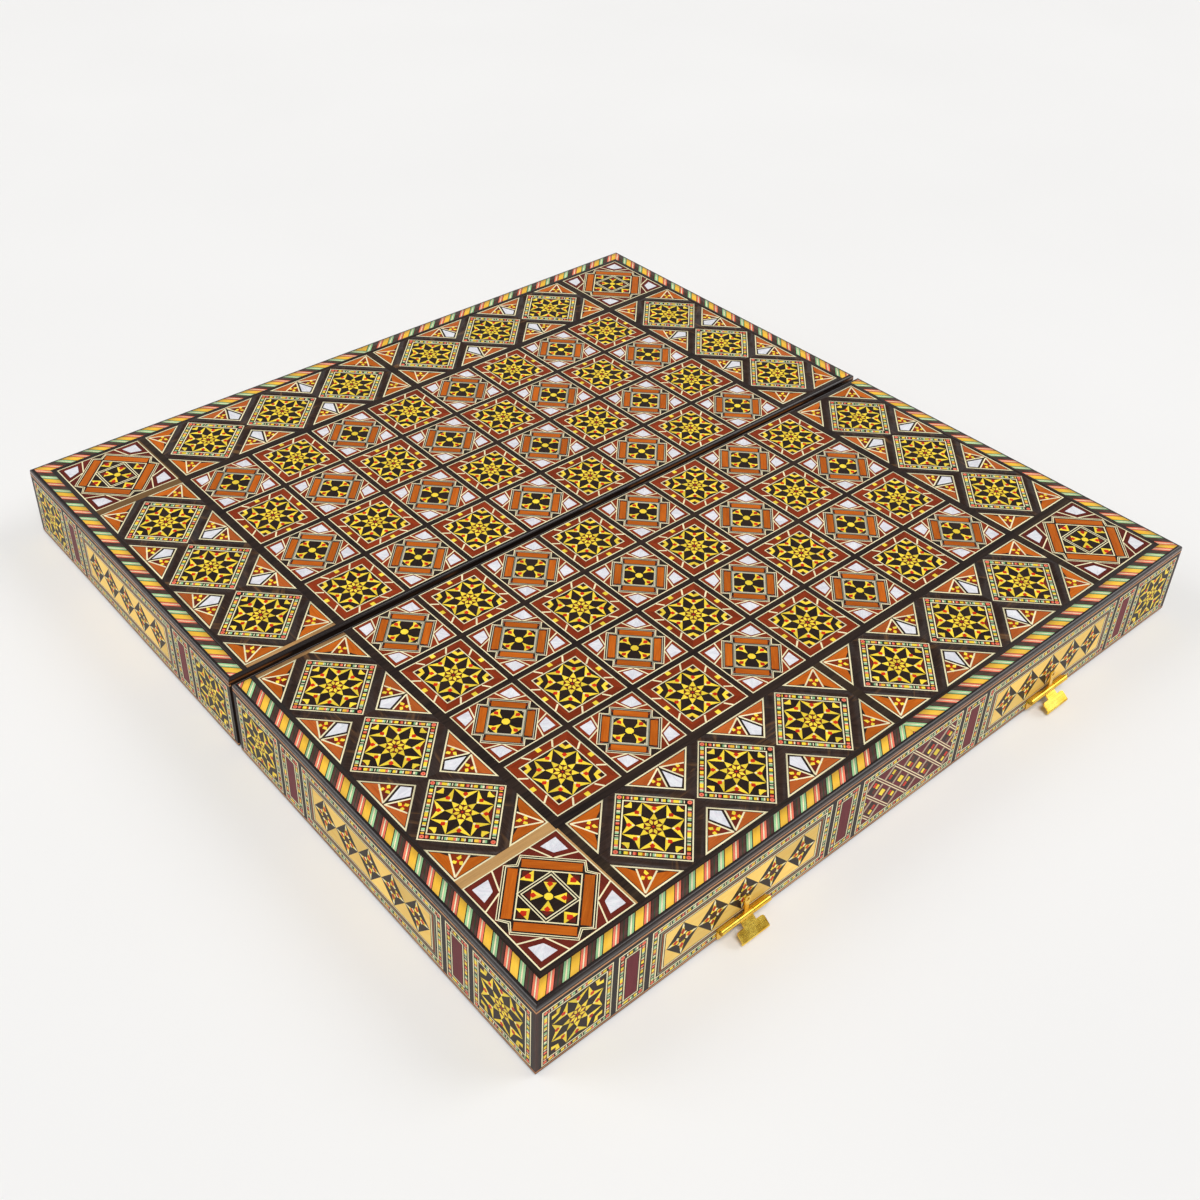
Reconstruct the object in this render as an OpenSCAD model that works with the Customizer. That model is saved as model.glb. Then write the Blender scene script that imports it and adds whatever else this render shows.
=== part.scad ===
// Folding chess box with marquetry faces, shown opened flat with the playing surface up.
// Two shallow trays share a hinge line. The near tray carries the latches, the far tray the catches.
// X runs along the hinge line, Y from the latch side to the catch side, Z up from the table.

/* [Playing surface] */
// Distance from one square to the next
square_pitch = 44.2; // [38:0.2:52]
// Width of the dark strips between the squares
square_strip = 3.5; // [2:0.1:5]
// Side of one corner tile, and width of the border of stars
border_tile = 55; // [48:0.5:62]
// Width of the strips between field, border and corner tiles
border_strip = 5.4; // [4:0.1:7]
// Tip to zone edge clearance of each border star
star_inset = 0.8; // [0.4:0.1:1.6]
// Dark margin at the two ends of a run of border stars
run_margin = 3; // [2:0.1:5]
// Width of the brown frame around the star of a square
star_frame_w = 5.3; // [4.5:0.1:7]
// Width of the mosaic band around the stars of the border and the sides
star_band_w = 4.1; // [3.5:0.1:6]
// Least black margin around the tips of a star
star_air = 0.4; // [0.2:0.1:1.5]
// Width of the line around the lozenge of a pearl square
lozenge_line_w = 0.9; // [0.6:0.1:2]
// Width of the orange bars of the lozenge
lozenge_bar_w = 3.7; // [2.5:0.1:4.5]
// Width of the black frame inside the striped banding
frame_w = 3; // [2:0.1:5]
// Width of the striped banding
banding_w = 7.4; // [5:0.1:10]

/* [Case] */
// Height of one half from rim to playing surface
half_h = 47.5; // [44:0.5:60]
// Thickness of the solid wood walls
wall_t = 9; // [7:0.5:12]
// Thickness of the board under the marquetry
board_t = 5; // [4:0.5:8]
// Thickness of the lining panel inside each tray
lining_t = 3; // [2:0.5:4]
// Thickness of all marquetry and veneer
veneer_t = 1; // [0.6:0.1:1.4]
// Thickness of the game points laid on the lining
point_t = 0.6; // [0.4:0.1:1]
// Width of the rounded edge bead seen from above
bead_w = 2.3; // [2:0.1:3]
// Height of the rounded edge bead seen from the side
bead_h = 2.6; // [2:0.1:3.5]
// Radius of the rounding on the bead
bead_round = 1.8; // [1:0.1:1.9]

/* [Side panels] */
// Plain margin beside the outermost side panel
side_margin = 3.3; // [2:0.1:5]
// Width of the star panels on the sides
side_star_w = 40; // [34:0.5:44]
// Width of the narrow plain bars on the sides
side_bar_w = 17; // [12:0.5:20]
// Width of the lattice panel in the middle of the long sides
lattice_w = 79; // [60:1:90]
// Dark gap between two side panels
side_gap = 3.1; // [2:0.1:4]
// Dark rail above the side panels
rail_top = 4.3; // [3.4:0.1:6]
// Dark rail below the side panels
rail_low = 2; // [1.8:0.1:3]
// Height of the two light lines in the rails
line_h = 1; // [0.6:0.1:1.2]

/* [Hinges] */
// Gap between the two trays at the hinge line
hinge_gap = 3.4; // [3.4:0.1:4.4]
// Outer radius of a hinge knuckle
hinge_r = 1.35; // [1.2:0.05:1.35]
// Radius of the hinge pin
hinge_pin_r = 0.6; // [0.5:0.05:0.7]
// Length of one hinge along the hinge line
hinge_len = 34; // [25:1:45]
// Height of a hinge leaf
hinge_leaf_h = 14; // [12:0.5:18]
// Thickness of a hinge leaf
hinge_leaf_t = 0.8; // [0.6:0.05:0.9]
// Distance from the middle hinge to each outer hinge
hinge_spread = 165; // [120:5:190]
// Gap left between the rims of the closed box
rim_gap = 0.2; // [0.1:0.05:0.4]

/* [Latches] */
// Length of a latch plate
plate_len = 33; // [30:0.5:40]
// Height of a latch plate below its knuckles
plate_h = 7.6; // [7.6:0.1:9]
// Thickness of the latch and catch plates
plate_t = 0.8; // [0.6:0.05:0.9]
// Distance of the latch pin from the face of the box
latch_off = 2.6; // [2.6:0.1:3.2]
// Outer radius of the latch knuckles
latch_r = 1.7; // [1.5:0.05:1.75]
// Radius of the latch pin
latch_pin_r = 0.7; // [0.5:0.05:0.8]
// Width of the hook's own knuckle
hook_knuckle = 9.6; // [8.4:0.2:15]
// Width of the hook's neck
hook_neck_w = 8; // [5:0.5:8]
// Length of the hook's neck outside the knuckle
hook_neck_l = 2.8; // [2:0.1:3.5]
// Width of the hook leaf
hook_w = 18; // [14:0.5:19]
// Thickness of the hook leaf
hook_t = 0.9; // [0.7:0.05:1]
// Angle of the hanging hook below the horizontal
hook_droop = 38; // [30:1:38]
// Height of the finger tab
tab_h = 12; // [8:0.5:14]
// Width of the finger tab
tab_w = 4.2; // [3.4:0.1:5]
// Length of a catch plate
catch_len = 24; // [22:0.5:30]

/* [Hidden] */
$fn = 48;
fit_gap = 0.05;          // radial play of every pin and screw in its hole
side_play = 0.2;         // play between neighbouring knuckles
hair = 0.05;             // hairline at the mitres and corners of strips and veneers
screw_r = 0.9;
screw_head_r = 1.7;
screw_len = 7;
nail_r = 0.6;
nail_head_r = 1.3;
nail_head_t = 0.6;
nail_len = 4.6;
field_half = (8 * square_pitch - square_strip) / 2;
field_depth = 4 * square_pitch - square_strip;
square_w = square_pitch - square_strip;
border_in = border_strip;                       // field edge to border zone
border_out = border_in + border_tile;           // field edge to frame
frame_out = border_out + frame_w;
banding_out = frame_out + banding_w;
body_l = 2 * (field_half + banding_out + bead_w);
half_d = bead_w + field_depth + banding_out + bead_w;
seam_v = hinge_gap / 2;
field_v = seam_v + bead_w;
field_end = field_v + field_depth;
outer_v = seam_v + half_d;
axis_z = hinge_r;
rim_z = axis_z + rim_gap / 2;
top_z = rim_z + half_h;
face_z = top_z - veneer_t;
board_z = face_z - board_t;
lining_z = board_z - lining_t;
core_x = body_l / 2 - veneer_t;
core_v = outer_v - veneer_t;
inner_x = core_x - wall_t;
inner_v0 = seam_v + wall_t;
inner_v1 = core_v - wall_t;
seam_dark = 2.4;                                // dark end of the border runs at the hinge line
run_x = field_half - border_strip / 2;
run_y = field_depth - seam_dark;
panel_z0 = rim_z + rail_low;
panel_z1 = top_z - bead_h - rail_top;
panel_h = panel_z1 - panel_z0;
bar_from_edge = side_margin + side_star_w + side_gap;
long_from_edge = bar_from_edge + side_bar_w + side_gap;
long_front_w = body_l / 2 - long_from_edge - 2 * side_gap - side_bar_w - lattice_w / 2;
long_end_w = half_d - 2 * long_from_edge;
latch_x = body_l / 2 - long_from_edge - long_front_w / 2;
point_pitch = (inner_v1 - inner_v0) / 6;
point_len = inner_x * 0.86;
hinge_xs = [-hinge_spread, 0, hinge_spread];
knuckle_l = hinge_len / 5;
hook_z = rim_z + plate_h + 0.4;
catch_top = 0.8;                                // catch ledge, measured from the hinge plane
catch_low = 1.7;
bend_r = 1.1;                                   // outer radius of the bend at the hook's lip
leaf_round = 1.4;                               // rounding of the leaf's shoulders
hook_reach = hook_z - axis_z + catch_low + 0.25 + hook_t;
lip_in = latch_off - plate_t - 0.3;             // how far the lip reaches towards the plate
low_y = outer_v + latch_off + hook_reach * cos(hook_droop) + hook_t / 2 * sin(hook_droop);
high_y = outer_v + catch_reach();
centre_y = (low_y - high_y) / 2;                // puts the origin under the middle of the part
latch_xs = [-latch_x, latch_x];
nail_dx = plate_len / 2 - 4;
nail_dz = plate_h / 2;
catch_nail_dx = catch_len / 2 - 3;
catch_nail_z = 6.2;
plate_round = 1.8;                              // rounding of the latch plate's lower corners
spare_r = 0.4;
spare_holes = [[-2.4, 0.6], [2.1, 0.9]];        // from the nail, outward and up
function catch_reach() = latch_off - hook_t / 2 - 0.25;
half_across = border_tile / 2 - star_inset;     // half a border star's rhombus across the run
// Shares of a star's tip radius: outer notches, tips and notches of the black star, the middle star
star_notch = 0.82;
black_tip = 0.955;
black_notch = 0.507;
middle_tip = 0.3;
middle_notch = 0.14;

ebony = [0.13, 0.11, 0.11];
walnut = [0.27, 0.17, 0.13];
wood = [0.55, 0.33, 0.18];
tan_wood = [0.62, 0.42, 0.24];
maroon = [0.40, 0.12, 0.16];
yellow = [0.95, 0.75, 0.28];
orange = [0.72, 0.38, 0.14];
pearl = [0.90, 0.90, 0.92];
mosaic = [0.85, 0.60, 0.25];
brass = [0.83, 0.66, 0.27];

// ---------- placing ----------
// Half modules are drawn with the outward direction along +Y, from the hinge line.
module far_side() { translate([0, centre_y, 0]) children(); }
module near_side() { translate([0, centre_y, 0]) mirror([0, 1, 0]) children(); }
module both_ends() { children(); mirror([1, 0, 0]) children(); }

// Turns a drawing in the X-Z plane into a veneer on the outer long face
module on_outer_face() {
    translate([0, outer_v, 0]) rotate([90, 0, 0]) linear_extrude(veneer_t) children();
}
// The same on the right end face, with drawing X running along the half's depth
module on_end_face() {
    translate([body_l / 2 - veneer_t, 0, 0]) rotate([90, 0, 90]) linear_extrude(veneer_t) children();
}
// Lays a drawing on the board as marquetry
module on_board() { translate([0, 0, face_z]) linear_extrude(veneer_t) children(); }
module block(x0, x1, y0, y1, z0, z1) { translate([x0, y0, z0]) cube([x1 - x0, y1 - y0, z1 - z0]); }

// ---------- case ----------
module outer_wall(has_latch) {
    color(wood) difference() {
        block(-core_x, core_x, inner_v1, core_v, rim_z, board_z);
        if (has_latch) latch_nail_holes();
        else catch_nail_holes();
    }
}
module seam_wall() {
    color(walnut) difference() {
        block(-core_x, core_x, seam_v, inner_v0, rim_z, board_z);
        hinge_screw_holes();
    }
}
module end_wall() {
    color(wood) block(inner_x, core_x, inner_v0, inner_v1, rim_z, board_z);
}
module board() {
    color(wood) difference() {
        block(-core_x, core_x, seam_v, core_v, board_z, face_z);
        difference() {
            block(-body_l, body_l, 0, 2 * outer_v, top_z - bead_h, top_z);
            block(bead_w - body_l / 2, body_l / 2 - bead_w, field_v, outer_v - bead_w, board_z, top_z + 1);
        }
    }
}
module lining() {
    color(tan_wood) block(-inner_x, inner_x, inner_v0, inner_v1, lining_z, board_z);
}
// Game points on the lining: six from each end, colours alternating and reversed at the other end
module points(colour, phase) {
    color(colour) for (side = [0, 1], i = [0:2]) {
        v = inner_v0 + point_pitch * (2 * i + ((phase + side) % 2));
        mirror([side, 0, 0]) translate([0, 0, lining_z - point_t]) linear_extrude(point_t)
            polygon([[inner_x, v + 1], [inner_x, v + point_pitch - 1],
                [inner_x - point_len, v + point_pitch / 2]]);
    }
}

// ---------- rounded bead and mitred frames ----------
// One side of a frame: a strip with 45 degree mitres, a hairline short of its neighbours
module mitre_strip(len, w) {
    polygon([[w + hair, 0], [len - w - hair, 0], [len - hair, w], [hair, w]]);
}
// Frame strips between two offsets from the outer edge, on the outer and two end sides of a half
module frame_strip_outer(inset, w) {
    l = body_l - 2 * inset;
    translate([-l / 2, outer_v - inset - w]) mitre_strip(l, w);
}
module frame_strip_end(inset, w) {
    polygon([[body_l / 2 - inset - w, field_v], [body_l / 2 - inset, field_v],
        [body_l / 2 - inset, outer_v - inset], [body_l / 2 - inset - w, outer_v - inset - w]]);
}
module bead_profile() {
    difference() {
        square([bead_w, bead_h]);
        translate([bead_w - bead_round, bead_h - bead_round]) difference() {
            square(bead_round + 1);
            circle(bead_round);
        }
    }
}
module bead_bar(len) {
    translate([-len / 2, 0, 0]) rotate([90, 0, 90]) linear_extrude(len) bead_profile();
}
module bead_cut(len) {
    translate([-len / 2, 0, -1]) linear_extrude(bead_h + 2) mitre_strip(len, bead_w);
}
module bead_side(len) { intersection() { bead_bar(len); bead_cut(len); } }
module edge_bead() {
    mid_v = seam_v + half_d / 2;
    color(ebony) translate([0, 0, top_z - bead_h]) {
        translate([0, outer_v - bead_w, 0]) bead_side(body_l);
        translate([0, field_v, 0]) rotate([0, 0, 180]) bead_side(body_l);
        for (side = [-1, 1]) translate([side * (body_l / 2 - bead_w), mid_v, 0])
            rotate([0, 0, -90 * side]) bead_side(half_d);
    }
}

// ---------- marquetry on the playing surface ----------
module banding() {
    color(yellow) on_board() {
        both_ends() frame_strip_end(bead_w, banding_w);
        both_ends() intersection() {
            frame_strip_outer(bead_w, banding_w);
            translate([hair / 2, 0]) square([body_l, 2 * outer_v]);
        }
    }
}
module frame() {
    both_ends() frame_strip_end(bead_w + banding_w, frame_w - hair);
    frame_strip_outer(bead_w + banding_w, frame_w - hair);
}
// Dark and olive strips that part the border runs and the corner tiles
module dividers() {
    color(tan_wood) on_board() {
        both_ends() translate([field_half + border_in, field_end]) square([border_tile, border_strip]);
        both_ends() translate([field_half, field_end + border_in]) square([border_strip, border_tile]);
        translate([-border_strip / 2, field_end + border_in]) square([border_strip, border_tile]);
    }
}
// Eight-rayed star: tips midway between the axes and the diagonals, notches on them
module star_shape(tip, notch) {
    polygon([for (k = [0:15]) let (r = k % 2 == 0 ? tip : notch, a = 22.5 * (k + 1))
        [r * cos(a), r * sin(a)]]);
}
// Tip radius of the star that fits a ground with this least half width
function tip_radius(half) = (half - star_air) / cos(22.5);
module star_light(r) {
    difference() {
        star_shape(r, r * star_notch);
        star_shape(r * black_tip, r * black_notch);
    }
    star_shape(r * middle_tip, r * middle_notch);
}
module star_dark(r) {
    difference() {
        star_shape(r * black_tip, r * black_notch);
        star_shape(r * middle_tip, r * middle_notch);
    }
}
// Black ground around and inside a star; the child is the outline of the ground
module star_ground(r) {
    difference() {
        children();
        star_shape(r, r * star_notch);
    }
    star_dark(r);
}
module rhombus(a, b) { polygon([[a, 0], [0, b], [-a, 0], [0, -b]]); }

// A run of three border stars lies along drawing X from 0 to len, across drawing Y from 0 to the tile.
// Each star fills a rhombus: half_along by half_across, an even band inside its edge.
function star_step(len) = (len - 2 * run_margin) / 3;
function half_along(len) = star_step(len) / 2 - star_inset;
function side_slope(len) = sqrt(1 / pow(half_along(len), 2) + 1 / pow(half_across, 2));
function ground_share(len) = 1 - star_band_w * side_slope(len);
function run_tip(len) = tip_radius(ground_share(len) / side_slope(len));
// Size of a triangle, as a share of the rhombus, that leaves an even strip beside the nearest star
function tri_share(len, dist) = dist / half_along(len) + border_tile / 2 / half_across - 1
    - border_strip * side_slope(len);
module at_run_stars(len) {
    for (i = [0:2]) translate([run_margin + (i + 0.5) * star_step(len), border_tile / 2]) children();
}
module run_rhombi(len, share = 1) {
    at_run_stars(len) rhombus(half_along(len) * share, half_across * share);
}
module run_triangles(len) {
    step = star_step(len);
    big = tri_share(len, step / 2);
    small = tri_share(len, step / 2 + run_margin);
    for (side = [0, 1]) translate([0, side * border_tile]) mirror([0, side]) {
        for (i = [1, 2]) translate([run_margin + i * step, 0])
            triangle(big * half_along(len), big * half_across, -1);
        triangle(small * half_along(len), small * half_across, 0);
        translate([len, 0]) mirror([1, 0]) triangle(small * half_along(len), small * half_across, 0);
    }
}
module triangle(base, depth, from) { polygon([[base * from, 0], [base, 0], [0, depth]]); }
module run_ground(len, extra = 0) {
    difference() {
        square([len + extra, border_tile]);
        run_rhombi(len);
        run_triangles(len);
    }
}
// Places a run drawing on the long border (twice) and on both end borders
module long_runs() { both_ends() translate([border_strip / 2, field_end + border_in]) children(); }
module end_runs() {
    both_ends() translate([field_half + border_in + border_tile, field_end]) mirror([0, 1]) rotate(90)
        children();
}
module run_star_grounds(len) {
    at_run_stars(len) star_ground(run_tip(len))
        rhombus(half_along(len) * ground_share(len), half_across * ground_share(len));
}
module run_frames(len) {
    difference() {
        run_rhombi(len);
        run_rhombi(len, ground_share(len));
    }
}
module border_stars() {
    color(mosaic) on_board() {
        long_runs() run_frames(run_x);
        end_runs() run_frames(run_y);
    }
}
module border_triangles() {
    color(orange) on_board() {
        long_runs() run_triangles(run_x);
        end_runs() run_triangles(run_y);
    }
}
module corner_tiles() {
    color(orange) on_board() both_ends()
        translate([field_half + border_in, field_end + border_in]) square(border_tile);
}
// Squares of one colour: parity 0 or 1 picks which half of the chequer
module at_squares(parity) {
    for (row = [0:3], col = [0:7]) if ((row + col) % 2 == parity)
        translate([col * square_pitch - field_half, field_v + row * square_pitch]
            + [square_w, square_w] / 2) children();
}
module tile(w) { square(w, center = true); }
module field_ground() {
    color(ebony) on_board() difference() {
        translate([-field_half - border_in, field_v])
            square([2 * (field_half + border_in), field_depth + border_in]);
        at_squares(0) tile(square_w);
        at_squares(1) tile(square_w);
    }
}
ground_w = square_w - 2 * star_frame_w;
module star_squares(parity) {
    color(mosaic) on_board() at_squares(parity) difference() {
        tile(square_w);
        tile(ground_w);
    }
}
// Pearl square: corner field, lozenge of orange bars between lines, and middle
module pearl_squares(parity) {
    lozenge = square_w / sqrt(2) - hair;
    bars = lozenge - 2 * lozenge_line_w;
    middle = bars - 2 * lozenge_bar_w;
    color(pearl) on_board() at_squares(1 - parity) {
        difference() {
            tile(square_w);
            rotate(45) tile(lozenge + 2 * hair);
        }
        rotate(45) difference() {
            tile(lozenge);
            tile(bars + 2 * hair);
        }
        rotate(45) difference() {
            tile(bars);
            tile(middle + 2 * hair);
        }
        rotate(45) tile(middle);
    }
}
// Black veneers: outer frame, ground of the border runs, and the grounds of all stars
module black_ground(parity) {
    color(ebony) {
        on_board() {
            frame();
            long_runs() run_ground(run_x);
            end_runs() run_ground(run_y, seam_dark);
            long_runs() run_star_grounds(run_x);
            end_runs() run_star_grounds(run_y);
            at_squares(parity) star_ground(tip_radius(ground_w / 2)) tile(ground_w);
        }
        at_side_stars() star_ground(side_tip) side_star_outline();
    }
}
module star_inlays(parity) {
    color(yellow) {
        on_board() {
            long_runs() at_run_stars(run_x) star_light(run_tip(run_x));
            end_runs() at_run_stars(run_y) star_light(run_tip(run_y));
            at_squares(parity) star_light(tip_radius(ground_w / 2));
        }
        at_side_stars() star_light(side_tip);
    }
}

// ---------- marquetry on the sides ----------
module panel(x0, w) { translate([x0, panel_z0]) square([w, panel_h]); }
module mirrored_panels(edge) { children(); translate([edge, 0]) mirror([1, 0]) children(); }
// Long face, drawn from one corner: the whole face is mirrored about its middle
module long_face(kind) {
    translate([-body_l / 2, 0]) mirrored_panels(body_l) {
        if (kind == "star") panel(side_margin, side_star_w);
        if (kind == "bar") {
            panel(bar_from_edge, side_bar_w);
            panel(long_from_edge + long_front_w + side_gap, side_bar_w);
        }
        if (kind == "mosaic") {
            panel(long_from_edge, long_front_w);
            panel(body_l / 2 - lattice_w / 2, lattice_w / 2);
        }
    }
}
module end_face(kind) {
    translate([seam_v, 0]) mirrored_panels(half_d) {
        if (kind == "star") panel(side_margin, side_star_w);
        if (kind == "bar") panel(bar_from_edge, side_bar_w);
        if (kind == "mosaic") panel(long_from_edge, long_end_w / 2);
    }
}
module rail_lines(len) {
    translate([0, rim_z + 0.4]) square([len, line_h]);
    translate([0, top_z - bead_h - 1 - line_h]) square([len, line_h]);
}
module side_panels(kind) {
    on_outer_face() long_face(kind);
    both_ends() on_end_face() end_face(kind);
}
module side_lines() {
    color(tan_wood) {
        on_outer_face() translate([-body_l / 2, 0]) rail_lines(body_l);
        both_ends() on_end_face() translate([seam_v, 0]) rail_lines(half_d - veneer_t - hair);
    }
}
module side_ground() {
    sheet_h = top_z - bead_h - rim_z;
    color(walnut) {
        on_outer_face() difference() {
            translate([-body_l / 2, rim_z]) square([body_l, sheet_h]);
            for (kind = ["star", "bar", "mosaic"]) long_face(kind);
            translate([-body_l / 2, 0]) rail_lines(body_l);
        }
        both_ends() on_end_face() difference() {
            translate([seam_v, rim_z]) square([half_d - veneer_t - hair, sheet_h]);
            for (kind = ["star", "bar", "mosaic"]) end_face(kind);
            translate([seam_v, 0]) rail_lines(half_d);
        }
    }
}
// Star panels of the sides: a mosaic band around a black ground with its star
side_tip = tip_radius(min(side_star_w, panel_h) / 2 - star_band_w);
module at_star_panels(len) {
    for (x = [side_margin + side_star_w / 2, len - side_margin - side_star_w / 2])
        translate([x, panel_z0 + panel_h / 2]) children();
}
module at_side_stars() {
    on_outer_face() translate([-body_l / 2, 0]) at_star_panels(body_l) children();
    both_ends() on_end_face() translate([seam_v, 0]) at_star_panels(half_d) children();
}
module side_star_outline() {
    square([side_star_w - 2 * star_band_w, panel_h - 2 * star_band_w], center = true);
}
module side_stars() {
    color(mosaic) at_side_stars() difference() {
        square([side_star_w, panel_h], center = true);
        side_star_outline();
    }
}
module side_bars() { color(maroon) side_panels("bar"); }
module side_mosaics(has_latch) {
    color(yellow) difference() {
        side_panels("mosaic");
        if (has_latch) latch_nail_holes();
        else catch_nail_holes();
    }
}

// ---------- hinges ----------
module along_x(x0, x1, r) { translate([x0, 0, 0]) rotate([0, 90, 0]) cylinder(r = r, h = x1 - x0); }
// Countersunk screw along +Y, head face at y = 0
module screw_shape(play) {
    rotate([-90, 0, 0]) rotate_extrude() polygon([[0, 0], [screw_head_r + play, 0],
        [screw_r + play, hinge_leaf_t], [screw_r + play, screw_len], [0, screw_len + (play > 0 ? 0.4 : 0)]]);
}
module at_hinge_screws() {
    for (x = hinge_xs, side = [-1, 1]) translate([x + side * hinge_len * 0.32,
        seam_v - hinge_leaf_t, rim_z + hinge_leaf_h * 0.58]) children();
}
module hinge_screw_holes() { at_hinge_screws() screw_shape(fit_gap); }
module hinge_screws() {
    color(brass) at_hinge_screws() screw_shape(0);
}
// Leaf on the seam face with the knuckles that belong to it
module hinge_leaf(mine) {
    difference() {
        union() {
            block(-hinge_len / 2, hinge_len / 2, seam_v - hinge_leaf_t, seam_v,
                axis_z + hinge_r + 0.75, rim_z + hinge_leaf_h);
            for (k = mine) {
                x0 = -hinge_len / 2 + k * knuckle_l + (k > 0 ? side_play / 2 : 0);
                x1 = -hinge_len / 2 + (k + 1) * knuckle_l - (k < 4 ? side_play / 2 : 0);
                translate([0, 0, axis_z]) along_x(x0, x1, hinge_r);
                block(x0, x1, 0, seam_v, axis_z + hinge_pin_r, axis_z + hinge_r);
                block(x0, x1, seam_v - hinge_leaf_t, seam_v, axis_z + hinge_pin_r,
                    axis_z + hinge_r + 1);
            }
        }
        translate([0, 0, axis_z]) along_x(-hinge_len, hinge_len, hinge_pin_r + fit_gap);
    }
}
module hinge_leaves(mine) {
    color(brass) difference() {
        for (x = hinge_xs) translate([x, 0, 0]) hinge_leaf(mine);
        hinge_screw_holes();
    }
}
module hinge_pin_set() {
    color(brass) for (x = hinge_xs) translate([x, 0, axis_z])
        along_x(-hinge_len / 2, hinge_len / 2, hinge_pin_r);
}

// ---------- latches ----------
module nail_shape(play) {
    rotate([90, 0, 0]) {
        translate([0, 0, -nail_len]) cylinder(r = nail_r + play, h = nail_len + 0.01);
        if (play == 0) intersection() {
            cylinder(r = nail_head_r, h = nail_head_t);
            translate([0, 0, nail_head_t - 2]) sphere(2);
        }
    }
}
module at_latches() { for (x = latch_xs) translate([x, outer_v, 0]) children(); }
module at_latch_nails() {
    at_latches() for (side = [-1, 1]) translate([side * nail_dx, plate_t, rim_z + nail_dz])
        mirror([0, 1, 0]) children();
}
module at_catch_nails() {
    at_latches() for (side = [-1, 1]) translate([side * catch_nail_dx, plate_t, axis_z + catch_nail_z])
        mirror([0, 1, 0]) children();
}
module latch_nail_holes() { at_latch_nails() nail_shape(fit_gap); }
module catch_nail_holes() { at_catch_nails() nail_shape(fit_gap); }
module latch_nail_set() { color(brass) at_latch_nails() nail_shape(0); }
module catch_nail_set() { color(brass) at_catch_nails() nail_shape(0); }
// Face of the latch plate, down from the pin: rounded lower corners, and two spare nail holes
// at each end
module latch_plate_outline() {
    difference() {
        hull() {
            for (side = [-1, 1]) translate([side * (plate_len / 2 - plate_round), plate_round - plate_h])
                circle(plate_round);
            translate([-plate_len / 2, -latch_r]) square([plate_len, 0.3]);
        }
        for (side = [-1, 1], hole = spare_holes)
            translate([side * (nail_dx + hole[0]), rim_z + nail_dz - hook_z + hole[1]]) circle(spare_r);
    }
}
// Fixed plate with a rolled upper edge that holds the pin on both sides of the hook
module latch_plate() {
    difference() {
        union() {
            translate([0, plate_t, hook_z]) rotate([90, 0, 0]) linear_extrude(plate_t)
                latch_plate_outline();
            for (side = [0, 1]) mirror([side, 0, 0]) {
                x0 = hook_knuckle / 2 + side_play;
                block(x0, plate_len / 2, 0, plate_t, hook_z - latch_r, hook_z);
                block(x0, plate_len / 2, 0, latch_off, hook_z - latch_r, hook_z - latch_pin_r - 0.15);
                translate([0, latch_off, hook_z]) along_x(x0, plate_len / 2, latch_r);
            }
        }
        translate([0, latch_off, hook_z]) along_x(-plate_len, plate_len, latch_pin_r + fit_gap);
    }
}
module latch_plate_set() {
    color(brass) difference() {
        at_latches() latch_plate();
        latch_nail_holes();
    }
}
module latch_pin_set() {
    color(brass) at_latches() translate([0, latch_off, hook_z])
        along_x(-plate_len / 2, plate_len / 2, latch_pin_r);
}
// Space behind the hook's sheet, as seen from its end, taken in by `inset`
module behind_sheet(inset) {
    half = hook_t / 2;
    hull() {
        translate([half - bend_r, bend_r - hook_reach]) circle(bend_r - inset);
        translate([half - inset - 1, 0]) square(1);
        translate([-2 * latch_off, inset - hook_reach]) square(1);
    }
}
// Hook about its own pin, as it hangs along -Z when latched: a neck, a wide leaf with round
// shoulders, and a lip bent back towards the box
module hook_leaf() {
    wide_from = latch_r + hook_neck_l;
    block(-hook_neck_w / 2, hook_neck_w / 2, -hook_t / 2, hook_t / 2, -wide_from - 0.5,
        -latch_pin_r - 0.2);
    intersection() {
        rotate([90, 0, 90]) linear_extrude(hook_w, center = true) intersection() {
            difference() {
                behind_sheet(0);
                behind_sheet(hook_t);
            }
            translate([-lip_in, -hook_reach - 1]) square([lip_in + hook_t, hook_reach]);
        }
        rotate([90, 0, 0]) linear_extrude(4 * latch_off, center = true) hull() {
            for (side = [-1, 1]) translate([side * (hook_w / 2 - leaf_round), -wide_from - leaf_round])
                circle(leaf_round);
            translate([-hook_w / 2, -hook_reach - 1]) square([hook_w, 1]);
        }
    }
}
module finger_tab() {
    eye_r = tab_w * 0.24;
    rotate([90, 0, 0]) translate([0, 0, -hook_t / 2]) linear_extrude(hook_t) difference() {
        union() {
            translate([-tab_w * 0.34, latch_pin_r + 0.2]) square([tab_w * 0.68, tab_h - tab_w / 2]);
            translate([0, tab_h]) circle(tab_w / 2);
        }
        translate([0, tab_h]) circle(eye_r);
    }
}
module latch_hook() {
    translate([0, latch_off, hook_z]) difference() {
        union() {
            along_x(-hook_knuckle / 2, hook_knuckle / 2, latch_r);
            rotate([90 - hook_droop, 0, 0]) hook_leaf();
            finger_tab();
        }
        along_x(-plate_len, plate_len, latch_pin_r + fit_gap);
    }
}
// Catch plate with the ledge that the hook's lip closes under
module catch_plate() {
    block(-catch_len / 2, catch_len / 2, 0, plate_t, rim_z + 0.3, axis_z + catch_nail_z + 2.4);
    block(-catch_len * 0.33, catch_len * 0.33, 0, catch_reach(), axis_z + catch_top,
        axis_z + catch_low);
}
module catch_plate_set() {
    color(brass) difference() {
        at_latches() catch_plate();
        catch_nail_holes();
    }
}

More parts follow.
